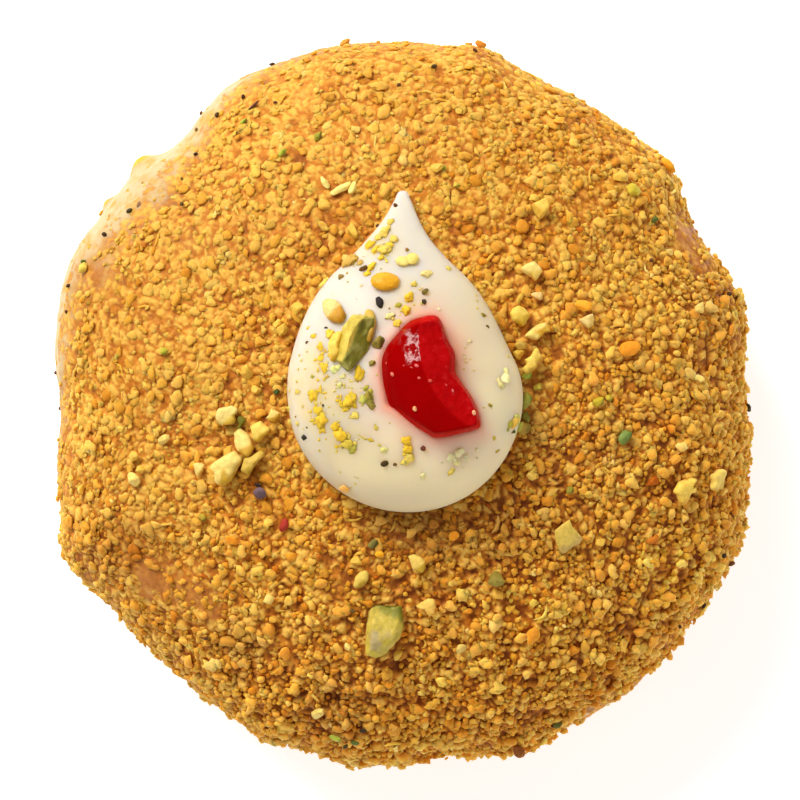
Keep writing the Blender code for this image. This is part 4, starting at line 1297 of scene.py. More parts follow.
ORANGES = (
    (630, 347, 25, 15, 20, 0.6, ORANGE), (585, 305, 17, 11, 160, 0.6, srgb(240, 168, 50)), (668, 166, 19, 14, 120, 0.8, AMBER), 
    (533, 637, 18, 15, 20, 0.6, srgb(232, 160, 50)), (231, 538, 12, 11, 0, 0.8, ORANGE), 
    (100, 212, 7, 6, 0, 0.7, AMBER), (190, 470, 10, 8, 0, 0.8, ORANGE), (410, 536, 12, 9, 50, 0.7, srgb(220, 170, 80)),
    (345, 38, 12, 9, 60, 0.8, srgb(214, 152, 62)), (480, 44, 11, 8, 150, 0.8, srgb(206, 140, 52)), (519, 749, 15, 12, 120, 0.8, srgb(140, 84, 36)),
    (456, 538, 12, 9, 30, 0.6, ORANGE), (380, 555, 9, 8, 0, 0.8, srgb(244, 170, 40)), (345, 487, 12, 10, 0, 0.6, srgb(236, 176, 90)),
    (596, 380, 14, 11, 60, 0.6, srgb(238, 170, 70)), (560, 120, 12, 10, 30, 0.7, srgb(236, 168, 64)), (285, 655, 16, 11, 70, 0.6, srgb(238, 166, 60)),
)
# On the cream: an amber seed, a pale petal-shaped flake, a slice beside the big piece, and pale clusters of crumb.
SEEDS = (
    (385.5, 283, 29, 20, 0, 0.6, srgb(232, 168, 28)),
    (403, 262, 15, 12, 0, 0.5, srgb(236, 216, 120)), (412, 260, 15, 13, 60, 0.55, srgb(238, 214, 112)),
)
SPECKS = (
    (380, 303, 12, 8, 115, 0.7, srgb(48, 40, 40)), (364, 269, 10, 7, 20, 0.8, srgb(104, 70, 20)), (342, 279, 8, 7, 0, 0.8, srgb(150, 120, 60)),
    (377, 225, 4, 4, 0, 1, BROWN), (396, 206, 4, 4, 0, 1, BROWN), (407, 250, 4, 4, 0, 1, srgb(150, 110, 40)),
    (425, 292, 8, 6, 60, 0.8, srgb(110, 90, 30)), (424, 302, 7, 5, 90, 0.8, srgb(60, 50, 30)), (327, 328, 6, 5, 0, 0.9, srgb(70, 56, 36)),
    (309, 344, 5, 5, 0, 0.9, srgb(90, 60, 20)), (324, 406, 5, 5, 0, 0.9, srgb(60, 50, 30)), (307, 437, 9, 8, 0, 0.8, srgb(50, 44, 30)),
    (385, 463, 8, 7, 0, 0.8, srgb(80, 60, 24)), (395, 464, 5, 4, 0, 0.9, srgb(110, 80, 40)), (423, 448, 6, 5, 0, 0.9, srgb(100, 50, 30)),
    (486, 328, 6, 6, 0, 0.8, srgb(110, 90, 20)), (482, 316, 7, 6, 0, 0.8, srgb(140, 120, 30)), (489, 405, 6, 5, 0, 0.8, srgb(150, 120, 40)),
    (491, 438, 8, 6, 0, 0.7, srgb(214, 186, 60)), (496, 450, 9, 6, 20, 0.7, srgb(190, 160, 50)), (308, 426, 6, 5, 0, 0.9, srgb(90, 70, 40)),
    (273, 66, 6, 6, 0, 0.8, BLACK), (242, 95, 5, 5, 0, 0.9, BLACK), (251, 102, 15, 4, 42, 0.7, srgb(84, 44, 24)), (273, 99, 5, 4, 0, 0.9, BROWN),
    (203, 115, 5, 4, 0, 0.9, BROWN), (216, 114, 6, 6, 0, 0.8, srgb(80, 54, 20)), (197, 130, 4, 4, 0, 0.9, srgb(150, 110, 60)),
    (195, 153, 5, 5, 0, 0.8, BLACK), (130, 211, 7, 6, 0, 0.8, srgb(60, 50, 24)), (105, 235, 5, 5, 0, 0.8, BLACK), (69, 286, 4, 4, 0, 0.9, BLACK),
    (67, 312, 4, 4, 0, 0.9, BROWN), (55, 372, 5, 4, 0, 0.9, BROWN), (139, 205, 7, 4, 40, 0.7, srgb(150, 110, 80)), (179, 203, 5, 5, 0, 0.9, srgb(96, 70, 30)),
    (724, 556, 6, 5, 0, 0.9, BLACK), (709, 596, 5, 5, 0, 0.9, BLACK), (704, 607, 6, 5, 40, 0.9, BLACK), (679, 626, 4, 4, 0, 0.9, BROWN),
    (571, 718, 4, 4, 0, 0.9, BROWN), (553, 726, 5, 4, 0, 0.9, BLACK), (749, 408, 9, 7, 90, 0.8, srgb(64, 54, 24)), (732, 562, 7, 6, 0, 0.8, srgb(120, 76, 30)),
    (259, 493, 15, 13, 0, 0.7, PURPLE), (255, 487, 7, 5, 0, 0.8, srgb(60, 44, 40)), (279, 523, 15, 9, 70, 0.7, RED_BROWN), (437, 62, 7, 5, 40, 0.8, srgb(70, 56, 20)),
    (398, 80, 5, 4, 0, 0.9, BROWN), (242, 440, 5, 5, 0, 0.9, BLACK), (180, 176, 4, 4, 0, 0.9, srgb(120, 90, 30)), (362, 734, 9, 6, 20, 0.8, srgb(60, 46, 20)),
    (345, 745, 6, 5, 0, 0.8, srgb(70, 60, 24)), (355, 613, 6, 4, 0, 0.8, srgb(110, 90, 40)), (478, 46, 5, 4, 0, 0.9, BROWN), (236, 448, 6, 5, 0, 0.8, srgb(80, 70, 20)),
    (652, 262, 5, 4, 0, 0.9, BROWN), (730, 292, 6, 5, 0, 0.9, srgb(70, 44, 20)), (58, 408, 5, 4, 0, 0.9, BROWN), (205, 640, 5, 4, 0, 0.9, BROWN),
)
# Soft lumps of ground pistachio on the cream, as the chunks above.
SUN = srgb(236, 190, 44)
STRAW = srgb(232, 200, 90)
TAWNY = srgb(206, 164, 72)
MOSS = srgb(178, 168, 56)
LUMPS = (
    (386, 232, 13, 9, 60, 0.6, STRAW), (391, 222, 7, 6, 20, 0.6, STRAW), (394, 240, 9, 7, 100, 0.6, STRAW), (379, 238, 8, 7, 40, 0.6, STRAW),
    (369, 246, 11, 9, 30, 0.6, SUN), (376, 250, 9, 7, 80, 0.6, SUN), (383, 251, 13, 9, 20, 0.6, STRAW), (389, 246, 8, 7, 60, 0.6, SUN),
    (381, 258, 6, 5, 0, 0.6, SUN), (372, 267, 10, 7, 50, 0.6, SUN), (367, 274, 6, 5, 0, 0.6, SUN), (325, 284, 12, 9, 20, 0.6, STRAW),
    (351, 262, 16, 12, 20, 0.6, TAWNY), (346, 259, 8, 7, 80, 0.6, srgb(226, 190, 96)), (360, 264, 8, 6, 80, 0.6, TAWNY), (352, 261, 6, 4, 10, 0.9, srgb(140, 92, 54)),
    (427, 274, 11, 7, 30, 0.5, srgb(232, 208, 130)), (414, 284, 6, 5, 0, 0.6, STRAW), (409, 297, 8, 9, 0, 0.6, SUN), (406, 311, 8, 9, 0, 0.6, SUN),
    (390, 316, 9, 6, 20, 0.5, srgb(240, 224, 150)), (398, 324, 9, 8, 10, 0.6, srgb(230, 192, 66)), (399, 305, 5, 4, 0, 0.6, MOSS),
    (448, 269, 6, 6, 0, 0.6, srgb(224, 196, 90)), (475, 296, 6, 5, 60, 0.6, STRAW), (482, 316, 8, 7, 0, 0.6, srgb(206, 172, 56)), (361, 286, 5, 4, 0, 0.6, srgb(226, 204, 140)),
    (315, 336, 9, 8, 0, 0.6, SUN), (331, 334, 10, 9, 0, 0.6, SUN), (310, 328, 6, 5, 0, 0.6, STRAW), (321, 346, 11, 8, 120, 0.6, SUN),
    (326, 352, 7, 6, 0, 0.6, TAWNY), (322, 360, 10, 8, 80, 0.6, SUN), (325, 369, 12, 9, 100, 0.6, SUN), (308, 376, 8, 6, 70, 0.6, STRAW), (314, 377, 5, 4, 0, 0.6, MOSS),
    (328, 377, 5, 4, 0, 0.6, TAWNY), (360, 373, 15, 9, 78, 0.6, srgb(230, 188, 40)), (357, 380, 5, 4, 0, 0.6, TAWNY), (340, 385, 7, 5, 40, 0.4, srgb(240, 222, 140)),
    (343, 377, 6, 4, 10, 0.4, srgb(240, 222, 140)), (345, 390, 6, 5, 60, 0.4, srgb(238, 218, 130)),
    (315, 396, 13, 10, 50, 0.6, SUN), (321, 391, 10, 8, 100, 0.6, SUN), (311, 393, 6, 5, 0, 0.6, SUN), (299, 392, 8, 6, 0, 0.5, STRAW), (292, 391, 4, 4, 0, 0.5, STRAW),
    (349, 402, 16, 12, 15, 0.65, SUN), (341, 404, 9, 8, 60, 0.6, SUN), (353, 396, 9, 8, 80, 0.6, SUN), (346, 409, 9, 7, 10, 0.6, SUN), (354, 416, 11, 8, 10, 0.5, STRAW),
    (319, 411, 12, 10, 60, 0.65, SUN), (322, 420, 15, 12, 100, 0.65, SUN), (314, 420, 9, 7, 60, 0.6, TAWNY), (324, 430, 10, 8, 60, 0.6, SUN), (327, 413, 7, 6, 0, 0.6, STRAW),
    (317, 404, 8, 7, 0, 0.6, STRAW), (336, 427, 11, 9, 60, 0.6, SUN), (341, 435, 13, 11, 120, 0.65, SUN), (348, 443, 12, 9, 140, 0.6, srgb(220, 190, 66)),
    (353, 449, 9, 7, 60, 0.6, MOSS), (345, 447, 7, 5, 0, 0.7, srgb(130, 112, 36)), (350, 436, 7, 6, 30, 0.6, STRAW), (355, 443, 6, 5, 0, 0.6, STRAW),
    (290, 408, 6, 6, 0, 0.6, srgb(216, 188, 70)), (291, 422, 6, 5, 0, 0.6, STRAW), (300, 423, 5, 4, 0, 0.5, STRAW), (363, 437, 11, 4, 155, 0.5, STRAW), (371, 440, 6, 4, 160, 0.5, SUN),
    (379, 445, 4, 3, 0, 0.5, STRAW), (384, 450, 6, 5, 0, 0.5, srgb(238, 222, 140)), (376, 428, 5, 4, 0, 0.5, srgb(220, 190, 70)), (357, 477, 6, 4, 0, 0.5, srgb(226, 208, 130)),
    (369, 396, 12, 9, 80, 0.7, MOSS), (371, 404, 10, 8, 120, 0.7, srgb(150, 134, 48)), (363, 400, 9, 7, 80, 0.6, srgb(206, 200, 96)), (366, 388, 6, 5, 40, 0.6, MOSS),
    (406, 440, 9, 8, 80, 0.6, SUN), (408, 449, 10, 8, 100, 0.6, SUN), (409, 458, 10, 9, 60, 0.6, STRAW), (404, 462, 7, 6, 0, 0.6, STRAW), (406, 454, 6, 5, 0, 0.6, SUN),
    (451, 457, 8, 6, 40, 0.5, srgb(255, 234, 168)), (459, 452, 10, 8, 20, 0.5, srgb(255, 236, 170)), (465, 459, 9, 7, 80, 0.5, srgb(255, 236, 176)), (457, 463, 8, 6, 0, 0.5, srgb(255, 230, 154)),
    (451, 471, 8, 6, 60, 0.5, STRAW), (423, 476, 6, 5, 60, 0.5, srgb(240, 222, 150)), (489, 406, 6, 6, 0, 0.6, srgb(190, 164, 56)), (492, 439, 7, 6, 0, 0.6, srgb(204, 180, 70)),
    (494, 449, 9, 6, 20, 0.5, srgb(196, 172, 66)), (504, 374, 13, 9, 60, 0.6, srgb(242, 228, 150)), (500, 383, 11, 10, 30, 0.6, srgb(240, 224, 146)), (506, 358, 5, 4, 0, 0.5, STRAW),
    (508, 425, 11, 9, 60, 0.65, MOSS), (515, 418, 13, 10, 20, 0.65, srgb(212, 208, 112)), (518, 427, 10, 8, 60, 0.65, srgb(176, 172, 60)), (512, 431, 7, 6, 0, 0.8, srgb(74, 84, 24)),
    (525, 430, 10, 5, 120, 0.6, srgb(224, 200, 66)), (463, 354, 6, 5, 60, 0.5, srgb(236, 182, 120)), (465, 362, 5, 4, 0, 0.5, srgb(236, 190, 130)), (459, 340, 6, 6, 0, 0.5, srgb(242, 224, 176)),
    (469, 342, 5, 4, 0, 0.5, srgb(238, 210, 150)), (439, 310, 6, 5, 0, 0.5, srgb(242, 214, 160)), (336, 369, 10, 8, 20, 0.7, srgb(226, 226, 140)),
)
# Finer dust round them: (pixel x, y, spread x, spread y, grains, largest grain px, colour)
DUST = (
    (382, 245, 10, 12, 24, 5, STRAW), (353, 262, 8, 6, 6, 4, TAWNY), (318, 412, 6, 16, 26, 5, SUN), (344, 438, 8, 9, 22, 5, SUN), (348, 403, 9, 6, 15, 5, SUN),
    (408, 451, 3, 10, 12, 4, SUN), (322, 358, 6, 12, 10, 5, SUN), (458, 458, 8, 7, 14, 5, srgb(255, 234, 168)), (300, 385, 8, 22, 10, 4, STRAW),
    (408, 305, 12, 12, 8, 4, STRAW), (345, 384, 8, 8, 8, 4, STRAW), (336, 400, 12, 12, 6, 3, STRAW), (462, 350, 5, 10, 5, 4, srgb(238, 204, 150)), (480, 305, 6, 14, 4, 4, STRAW),
)
# Crumbs on the cherry, and one at its lower left edge.
CHERRY_BITS = (
    (392.3, 374.2, 5.5, 4, 150, 0.5, srgb(236, 120, 96)), (386.5, 363.2, 3.5, 2.5, 120, 0.5, srgb(214, 60, 50)),
    (415.2, 408.6, 6, 5, 70, 0.6, srgb(250, 176, 120)), (473.6, 412.9, 5.5, 4.5, 90, 0.6, srgb(250, 176, 130)),
    (430.1, 380.9, 4, 3.5, 0, 0.5, srgb(222, 70, 60)), (419.1, 378.0, 3.5, 3, 0, 0.5, srgb(226, 90, 76)),
    (416.7, 365.6, 5, 3.5, 160, 0.5, srgb(232, 96, 96)), (411.4, 367.5, 3.5, 2, 160, 0.5, srgb(224, 84, 76)),
    (403.8, 365.6, 2.5, 2, 0, 0.5, srgb(214, 60, 60)), (419.6, 371.3, 2.5, 2, 0, 0.5, srgb(222, 80, 70)),
    (453.0, 391.0, 4, 2.2, 120, 0.5, srgb(234, 110, 110)), (446.3, 385.2, 4, 1.8, 125, 0.5, srgb(214, 60, 60)),
    (391.8, 412.0, 8, 5, 160, 0.6, srgb(246, 180, 150)), (438.5, 310.0, 6, 5, 60, 0.5, srgb(246, 214, 160)),
)


def lie_on(px, py, length, wide, bearing, thick, sink):
    """(centre, turn matrix, half sizes) of items lying on the highest surface at those pixels, with sizes made true for their height."""
    x, y = spot(px, py)
    # What would hang off the rim is drawn in onto it.
    theta = np.arctan2(y + MIDDLE[1], x + MIDDLE[0])
    share = share_at(x, y)
    rim = surface(np.full(len(x), BELT_S - 0.6), theta)
    off = share > 0.992
    x, y = np.where(off, rim[:, 0], x), np.where(off, rim[:, 1], y)
    on_coat = (cream_across(x, y) > 1.0) & (cherry_outside(x, y) > 0)
    s_, theta_ = dome_place(x, y)
    z = top_z(x, y) + np.where(on_coat, 0.75 * cover_at(s_, theta_, np.stack([x, y, dome_z(x, y)], 1)), 0.0)
    e = 0.35
    slope_x = (top_z(x + e, y) - top_z(x - e, y)) / (2 * e)
    slope_y = (top_z(x, y + e) - top_z(x, y - e)) / (2 * e)
    steep = np.hypot(slope_x, slope_y)
    ease = np.minimum(1.0, 1.9 / np.maximum(steep, 1e-6))
    normals = np.stack([-slope_x * ease, -slope_y * ease, np.ones(len(x))], 1)
    scale = PX_MM * VIEW_MM / (VIEW_MM - (z - BELT_Z))
    half = np.stack([length / scale, wide / scale, thick * wide / scale], 1) / 2
    turn = upright(normals, np.radians(bearing))
    n = turn[:, :, 2]
    z = z + np.where(on_coat, 0.0, 0.45 * np.clip(steep - 0.6, 0.0, 2.2) * half[:, 1])
    at = np.stack([x, y, z], 1) + n * (half[:, 2] * (1 - 2 * sink))[:, None]
    return at, turn, half


def outline_boxes():
    """(pixel x, y, length, width, bearing 0) of the pieces with an outline of their own."""
    boxes = []
    for corners, *_ in OUTLINED:
        low, high = np.array(corners).min(axis=0), np.array(corners).max(axis=0)
        boxes.append((*(low + high) / 2, *(high - low), 0))
    return tuple(boxes)


def make_outlined(name, look):
    """Chopped nuts cut to their own outlines: each a plate with broken, rounded edges and a slightly uneven top."""
    boxes = np.array(outline_boxes(), float)
    n = len(boxes)
    px, py, length, wide, _ = boxes.T
    thick = np.array([t for _, t, _, _ in OUTLINED]) * np.minimum(length, wide) / wide
    at, turn, half = lie_on(px, py, length, wide, np.zeros(n), thick, 0.25)
    around = 44
    phi = np.arange(around) * 2 * np.pi / around
    # (share of the outline, height) of each ring from the underside up
    rings = ((0.45, -0.85), (0.80, -0.75), (0.95, -0.35), (1.0, 0.10), (0.97, 0.45), (0.88, 0.72), (0.70, 0.88), (0.45, 0.95), (0.2, 0.97))
    shape, base, tint = [], [], []
    for k, (corners, _, light, dark) in enumerate(OUTLINED):
        poly = (np.array(corners) - boxes[k, :2]) * [1, -1] * 2 * half[k, 0] / length[k]
        ahead = np.roll(poly, -1, axis=0)
        way = np.stack([np.cos(phi), np.sin(phi)], 1)
        side = ahead - poly
        det = way[:, None, 0] * side[None, :, 1] - way[:, None, 1] * side[None, :, 0]
        det = np.where(np.abs(det) < 1e-9, 1e-9, det)
        reach = (poly[None, :, 0] * side[None, :, 1] - poly[None, :, 1] * side[None, :, 0]) / det
        share = (poly[None, :, 0] * way[:, None, 1] - poly[None, :, 1] * way[:, None, 0]) / det
        radius = np.where((share >= -1e-6) & (share <= 1 + 1e-6) & (reach > 0), reach, 0).max(axis=1)
        lean = rng.normal(0, 0.16, 2)
        rows = []
        for part, level in rings:
            flat = way * (radius * part)[:, None]
            flat = flat + (0.05 * noise(np.column_stack([flat, np.full(around, level + 9.0 * k)]), 0.7, 141) * min(1.0, part * 1.2))[:, None] * way
            z = level * half[k, 2] + 0.10 * noise(np.column_stack([flat, np.full(around, 3.0 * k)]), 0.8, 143) * (level > 0)
            rows.append(np.column_stack([flat, z + flat @ lean * (level > 0) * 0.8]))
        rows = np.concatenate(rows + [np.array([[0, 0, -0.9 * half[k, 2]], [0, 0, 0.98 * half[k, 2]]])])
        shape.append(rows)
        # Painted shade: each piece is darker on its side towards the lower right, away from the key light.
        away_from_light = rows[:, :2] @ np.array([0.62, -0.78]) / max(half[k, 0], half[k, 1])
        mix = step(-0.05, 0.35, away_from_light - 0.12 + 0.35 * noise(rows + 5.0 * k, 0.9, 145))[:, None]
        tint.append((np.array(light) * (1 - mix) + np.array(dark) * mix) * np.array([0.92, 0.83, 0.80]))
    rise = np.arcsin(np.clip(np.linspace(-0.8, 0.9, len(rings)), -1, 1))
    for e in rise:
        base.append(np.column_stack([np.cos(e) * np.cos(phi), np.cos(e) * np.sin(phi), np.full(around, np.sin(e))]))
    base = np.concatenate(base + [np.array([[0, 0, -1.0], [0, 0, 1.0]])])
    shape = np.array(shape)
    points = at[:, None] + np.einsum("nab,nkb->nka", turn, shape)
    count = len(rings) * around
    table = [(k * around, phi) for k in range(len(rings))]
    faces = rings_mesh(table, count, count + 1)
    k = len(base)
    points, faces = many(points, np.array(faces))
    obj = new_piece(name, points, faces, look)
    tint = np.concatenate(tint) * (1 + 0.04 * rng.normal(size=(n * k, 1)))
    give_colour(obj, "Tint", np.clip(tint, 0.003, 0.98))
    give_cells(obj, base, n)
    return obj


def block_items():
    """Keeps crumbs off the chunks that lie on the coat, apart from their very edges."""
    for item in CHUNKS + GREENS + ORANGES + SPECKS + outline_boxes():
        if min(item[2:4]) < 6:
            continue
        x, y = (float(v) for v in spot(*item[:2]))
        s, theta = (float(v) for v in dome_place(np.array(x), np.array(y)))
        turn = math.radians(item[4])
        for along in (-0.28, 0.0, 0.28) if item[2] > 1.3 * item[3] else (0.0,):
            # Away from the top the map is stretched around, so the blocks are set along the item's own length.
            px, py = x + along * item[2] / PX_MM * math.cos(turn), y + along * item[2] / PX_MM * math.sin(turn)
            s, theta = (float(v) for v in dome_place(np.array(px), np.array(py)))
            heap.drop(s * math.cos(theta), s * math.sin(theta), 0.40 * item[3] / PX_MM, 5.0)
    for at_x, at_y, length, wide, _, bearing, _ in (LARGE["pistachio_on_crumbs"],):
        for along in (-0.3, 0.0, 0.3):
            px = at_x + along * length * math.cos(math.radians(bearing))
            py = at_y + along * length * math.sin(math.radians(bearing))
            s, theta = (float(v) for v in dome_place(np.array(px), np.array(py)))
            heap.drop(s * math.cos(theta), s * math.sin(theta), 0.42 * wide, 5.0)


def make_items(name, items, level, slot, look, facets, rough, sink=0.22, tip=0.25, smooth=True, skin=0.0, grainy=0.0):
    """Chopped pieces as one joined mesh: an oval cut by flat planes, with a slightly uneven surface."""
    px, py, length, wide, bearing, thick = np.array([i[:6] for i in items], float).T
    at, turn, half = lie_on(px, py, length, wide, bearing, thick, sink)
    base, faces = icosphere(level)
    n, k = len(items), len(base)
    shape = np.broadcast_to(base, (n, k, 3)).copy()
    first_way = rng.uniform(0, 2 * np.pi, n)
    for facet in range(facets):
        way = rng.normal(size=(n, 3))
        if facet < 6 and facets > 6:
            # Most cuts run down the sides, so the outline is angular.
            bearing_ = first_way + facet * np.pi / 3 + rng.normal(0, 0.3, n)
            way = np.stack([np.cos(bearing_), np.sin(bearing_), rng.normal(0.25, 0.3, n)], 1)
        way /= np.linalg.norm(way, axis=1, keepdims=True)
        reach = rng.uniform(0.50, 0.82, (n, 1))
        past = np.maximum(np.einsum("nki,ni->nk", shape, way) - reach, 0)
        shape = shape - past[..., None] * way[:, None]
    size = np.abs(shape).max(axis=1, keepdims=True)
    shape = shape / np.maximum(size, 0.5)
    dents = noise(shape.reshape(-1, 3) * 1.0 + np.repeat(np.arange(n), k)[:, None] * 7.3, 0.55, 91).reshape(n, k)
    grains = noise(shape.reshape(-1, 3) * 1.0 + np.repeat(np.arange(n), k)[:, None] * 3.7, 0.30, 92).reshape(n, k)
    shape = shape * (1 + rough * dents[..., None] + grainy * grains[..., None] + 0.3 * rough * rng.normal(size=(n, k, 1)))
    local = shape * half[:, None]
    if tip:
        lean = rng.normal(0, tip, (n, 2))
        local[:, :, 2] += local[:, :, 0] * lean[:, :1] + local[:, :, 1] * lean[:, 1:]
    points = at[:, None] + np.einsum("nab,nkb->nka", turn, local)
    tint = np.array([i[6] for i in items])[:, None] * (1 + 0.05 * rng.normal(size=(n, k, 1)))
    # The skin side of a nut is greener and darker than its cut faces.
    if slot == "pistachio":
        side = step(0.10, 0.45, shape @ np.array([0.5, -0.75, -0.1]))[..., None] * skin
        tint = tint * (1 - side) + tint * side * np.array([0.50, 0.56, 0.34])
    points, faces = many(points, faces)
    obj = new_piece(name, points, faces, look, smooth)
    give_colour(obj, "Tint", np.clip(tint.reshape(-1, 3), 0.003, 0.98))
    give_cells(obj, base, n)
    return obj


def make_dust(name, look):
    """Grains of ground pistachio where they fell on the cream and the cherry, and finer ones scattered over the cream."""
    items = []
    for px, py, sx, sy, grains, largest, colour in DUST:
        for _ in range(grains):
            size = largest * rng.uniform(0.4, 1.0)
            tone = tuple(np.clip(np.array(colour) * rng.uniform(0.82, 1.1), 0, 1))
            items.append((px + 0.8 * sx * rng.normal(), py + 0.8 * sy * rng.normal(), size, size * rng.uniform(0.6, 1.0), rng.uniform(0, 180), 0.6, tone))
    for _ in range(70):
        px, py = 390 + 60 * rng.normal(), 372 + 62 * rng.normal()
        size = rng.uniform(1.4, 3.0)
        tone = srgb(*rng.choice([(232, 204, 90), (206, 176, 70), (150, 120, 50), (246, 226, 150)], p=[0.45, 0.3, 0.1, 0.15]))
        items.append((px, py, size, size * 0.8, 0, 0.7, tone))
    x, y = spot([i[0] for i in items], [i[1] for i in items])
    on = (cream_across(x, y) < 0.93) & (cherry_outside(x, y) > 0.3)
    items = [i for i, keep in zip(items, on) if keep]
    return make_items(name, items, 1, "pistachio", look, 2, 0.16, sink=0.2, tip=0.0)


# The two large pieces of pistachio, as the CAD model has them: x, y, length, width, thickness, bearing, how much of the far end is chopped off.
LARGE = {
    "pistachio_on_cream": (-6.7, 8.3, 9.6, 4.5, 3.9, 64.0, 0.88),
    "pistachio_on_crumbs": (-2.8, -30.5, 8.8, 5.4, 3.0, 70.0, 0.84),
}


def make_large_pistachio(node, look):
    """A kernel of pistachio chopped across its far end and along one side, with its skin partly on."""
    at_x, at_y, length, wide, thick, bearing, kept = LARGE[node]
    base, faces = icosphere(4)
    pinch = (1 - 0.22 * base[:, 0] ** 2)[:, None]
    shape = base * np.array([length / 2, wide / 2, thick / 2]) * np.concatenate([np.ones((len(base), 1)), pinch, pinch], 1)
    chop = (2 * kept - 1) * length / 2
    on_cream = node == "pistachio_on_cream"
    planes = [((chop, 0, 0), (1.0, 0.35, 0.25)), ((0, wide * 0.34, 0), (-0.25, 1.0, 0.5))]
    planes += [((0, 0, thick * 0.36), (0.1, -0.75, 1.0)), ((-length * 0.36, 0, 0), (-1.0, 0.4, 0.3))] if on_cream else [((0, 0, thick * 0.30), (0.15, 0.2, 1.0))]
    flesh = np.zeros(len(shape))
    for k, (point, way) in enumerate(planes):
        way = np.array(way) / np.linalg.norm(way)
        past = np.maximum((shape - np.array(point)) @ way, 0)
        shape = shape - past[:, None] * way
        if k != 2 or not on_cream:
            flesh = np.maximum(flesh, step(0.0, 0.15, past))
    rough = 0.12 * noise(shape, 1.3, 95) + 0.09 * noise(shape, 0.6, 96)
    shape = shape + base * rough[:, None]
    a = math.radians(bearing)
    x = at_x + shape[:, 0] * math.cos(a) - shape[:, 1] * math.sin(a)
    y = at_y + shape[:, 0] * math.sin(a) + shape[:, 1] * math.cos(a)
    if on_cream:
        shape[:, 1] = shape[:, 1] * 0.86 + 0.25
    z = np.maximum(float(cream_z(at_x, at_y)) + 0.30 * thick + shape[:, 2], cream_z(x, y) + 0.05)
    points = np.stack([x, y, z], 1)
    along, across = shape[:, 0] / (length / 2), shape[:, 1] / (wide / 2)
    mottle = (layered(points, 1.5, 97) + 0.25 * noise(points, 0.45, 98))[:, None]
    skin = np.array(srgb(134, 130, 36))
    frost = np.array(srgb(172, 166, 82))
    leaf = np.array(srgb(200, 176, 66))
    pale = np.array(srgb(224, 196, 86))
    dark = np.array(srgb(104, 106, 30))
    skin_tint = skin + (frost - skin) * step(0.05, 0.5, mottle) + (dark - skin) * step(0.1, 0.55, -mottle)
    flesh_tint = leaf + (pale - leaf) * step(-0.2, 0.4, mottle)
    if on_cream:
        flesh = step(-0.08, 0.08, across - 0.16 + 0.12 * mottle[:, 0])[:, None] * step(-0.75, -0.6, along)[:, None]
        streak = step(0.05, 0.45, noise(shape * np.array([0.45, 1.7, 1.0]), 0.8, 99) + 0.3 * mottle[:, 0])[:, None]
        tint = (skin_tint * (1 - streak) + frost * streak) * (1 - flesh) + flesh_tint * flesh
    else:
        tint = flesh_tint * 0.98
        green = step(0.25, 0.6, along + 0.35 * mottle[:, 0] - 0.2 * across)[:, None]
        tint = tint * (1 - green) + skin_tint * green
        patch = step(-0.15, 0.2, 0.5 * mottle[:, 0] + 0.42 - np.hypot(along + 0.45, (across - 0.05) * 0.8))[:, None]
        tint = tint * (1 - patch) + np.array(srgb(178, 158, 108)) * patch
    obj = new_piece(node + "_fine", points, faces, look)
    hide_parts(node)
    give_colour(obj, "Tint", np.clip(tint, 0.003, 0.98))
    give_cells(obj, base, 1)
    return obj


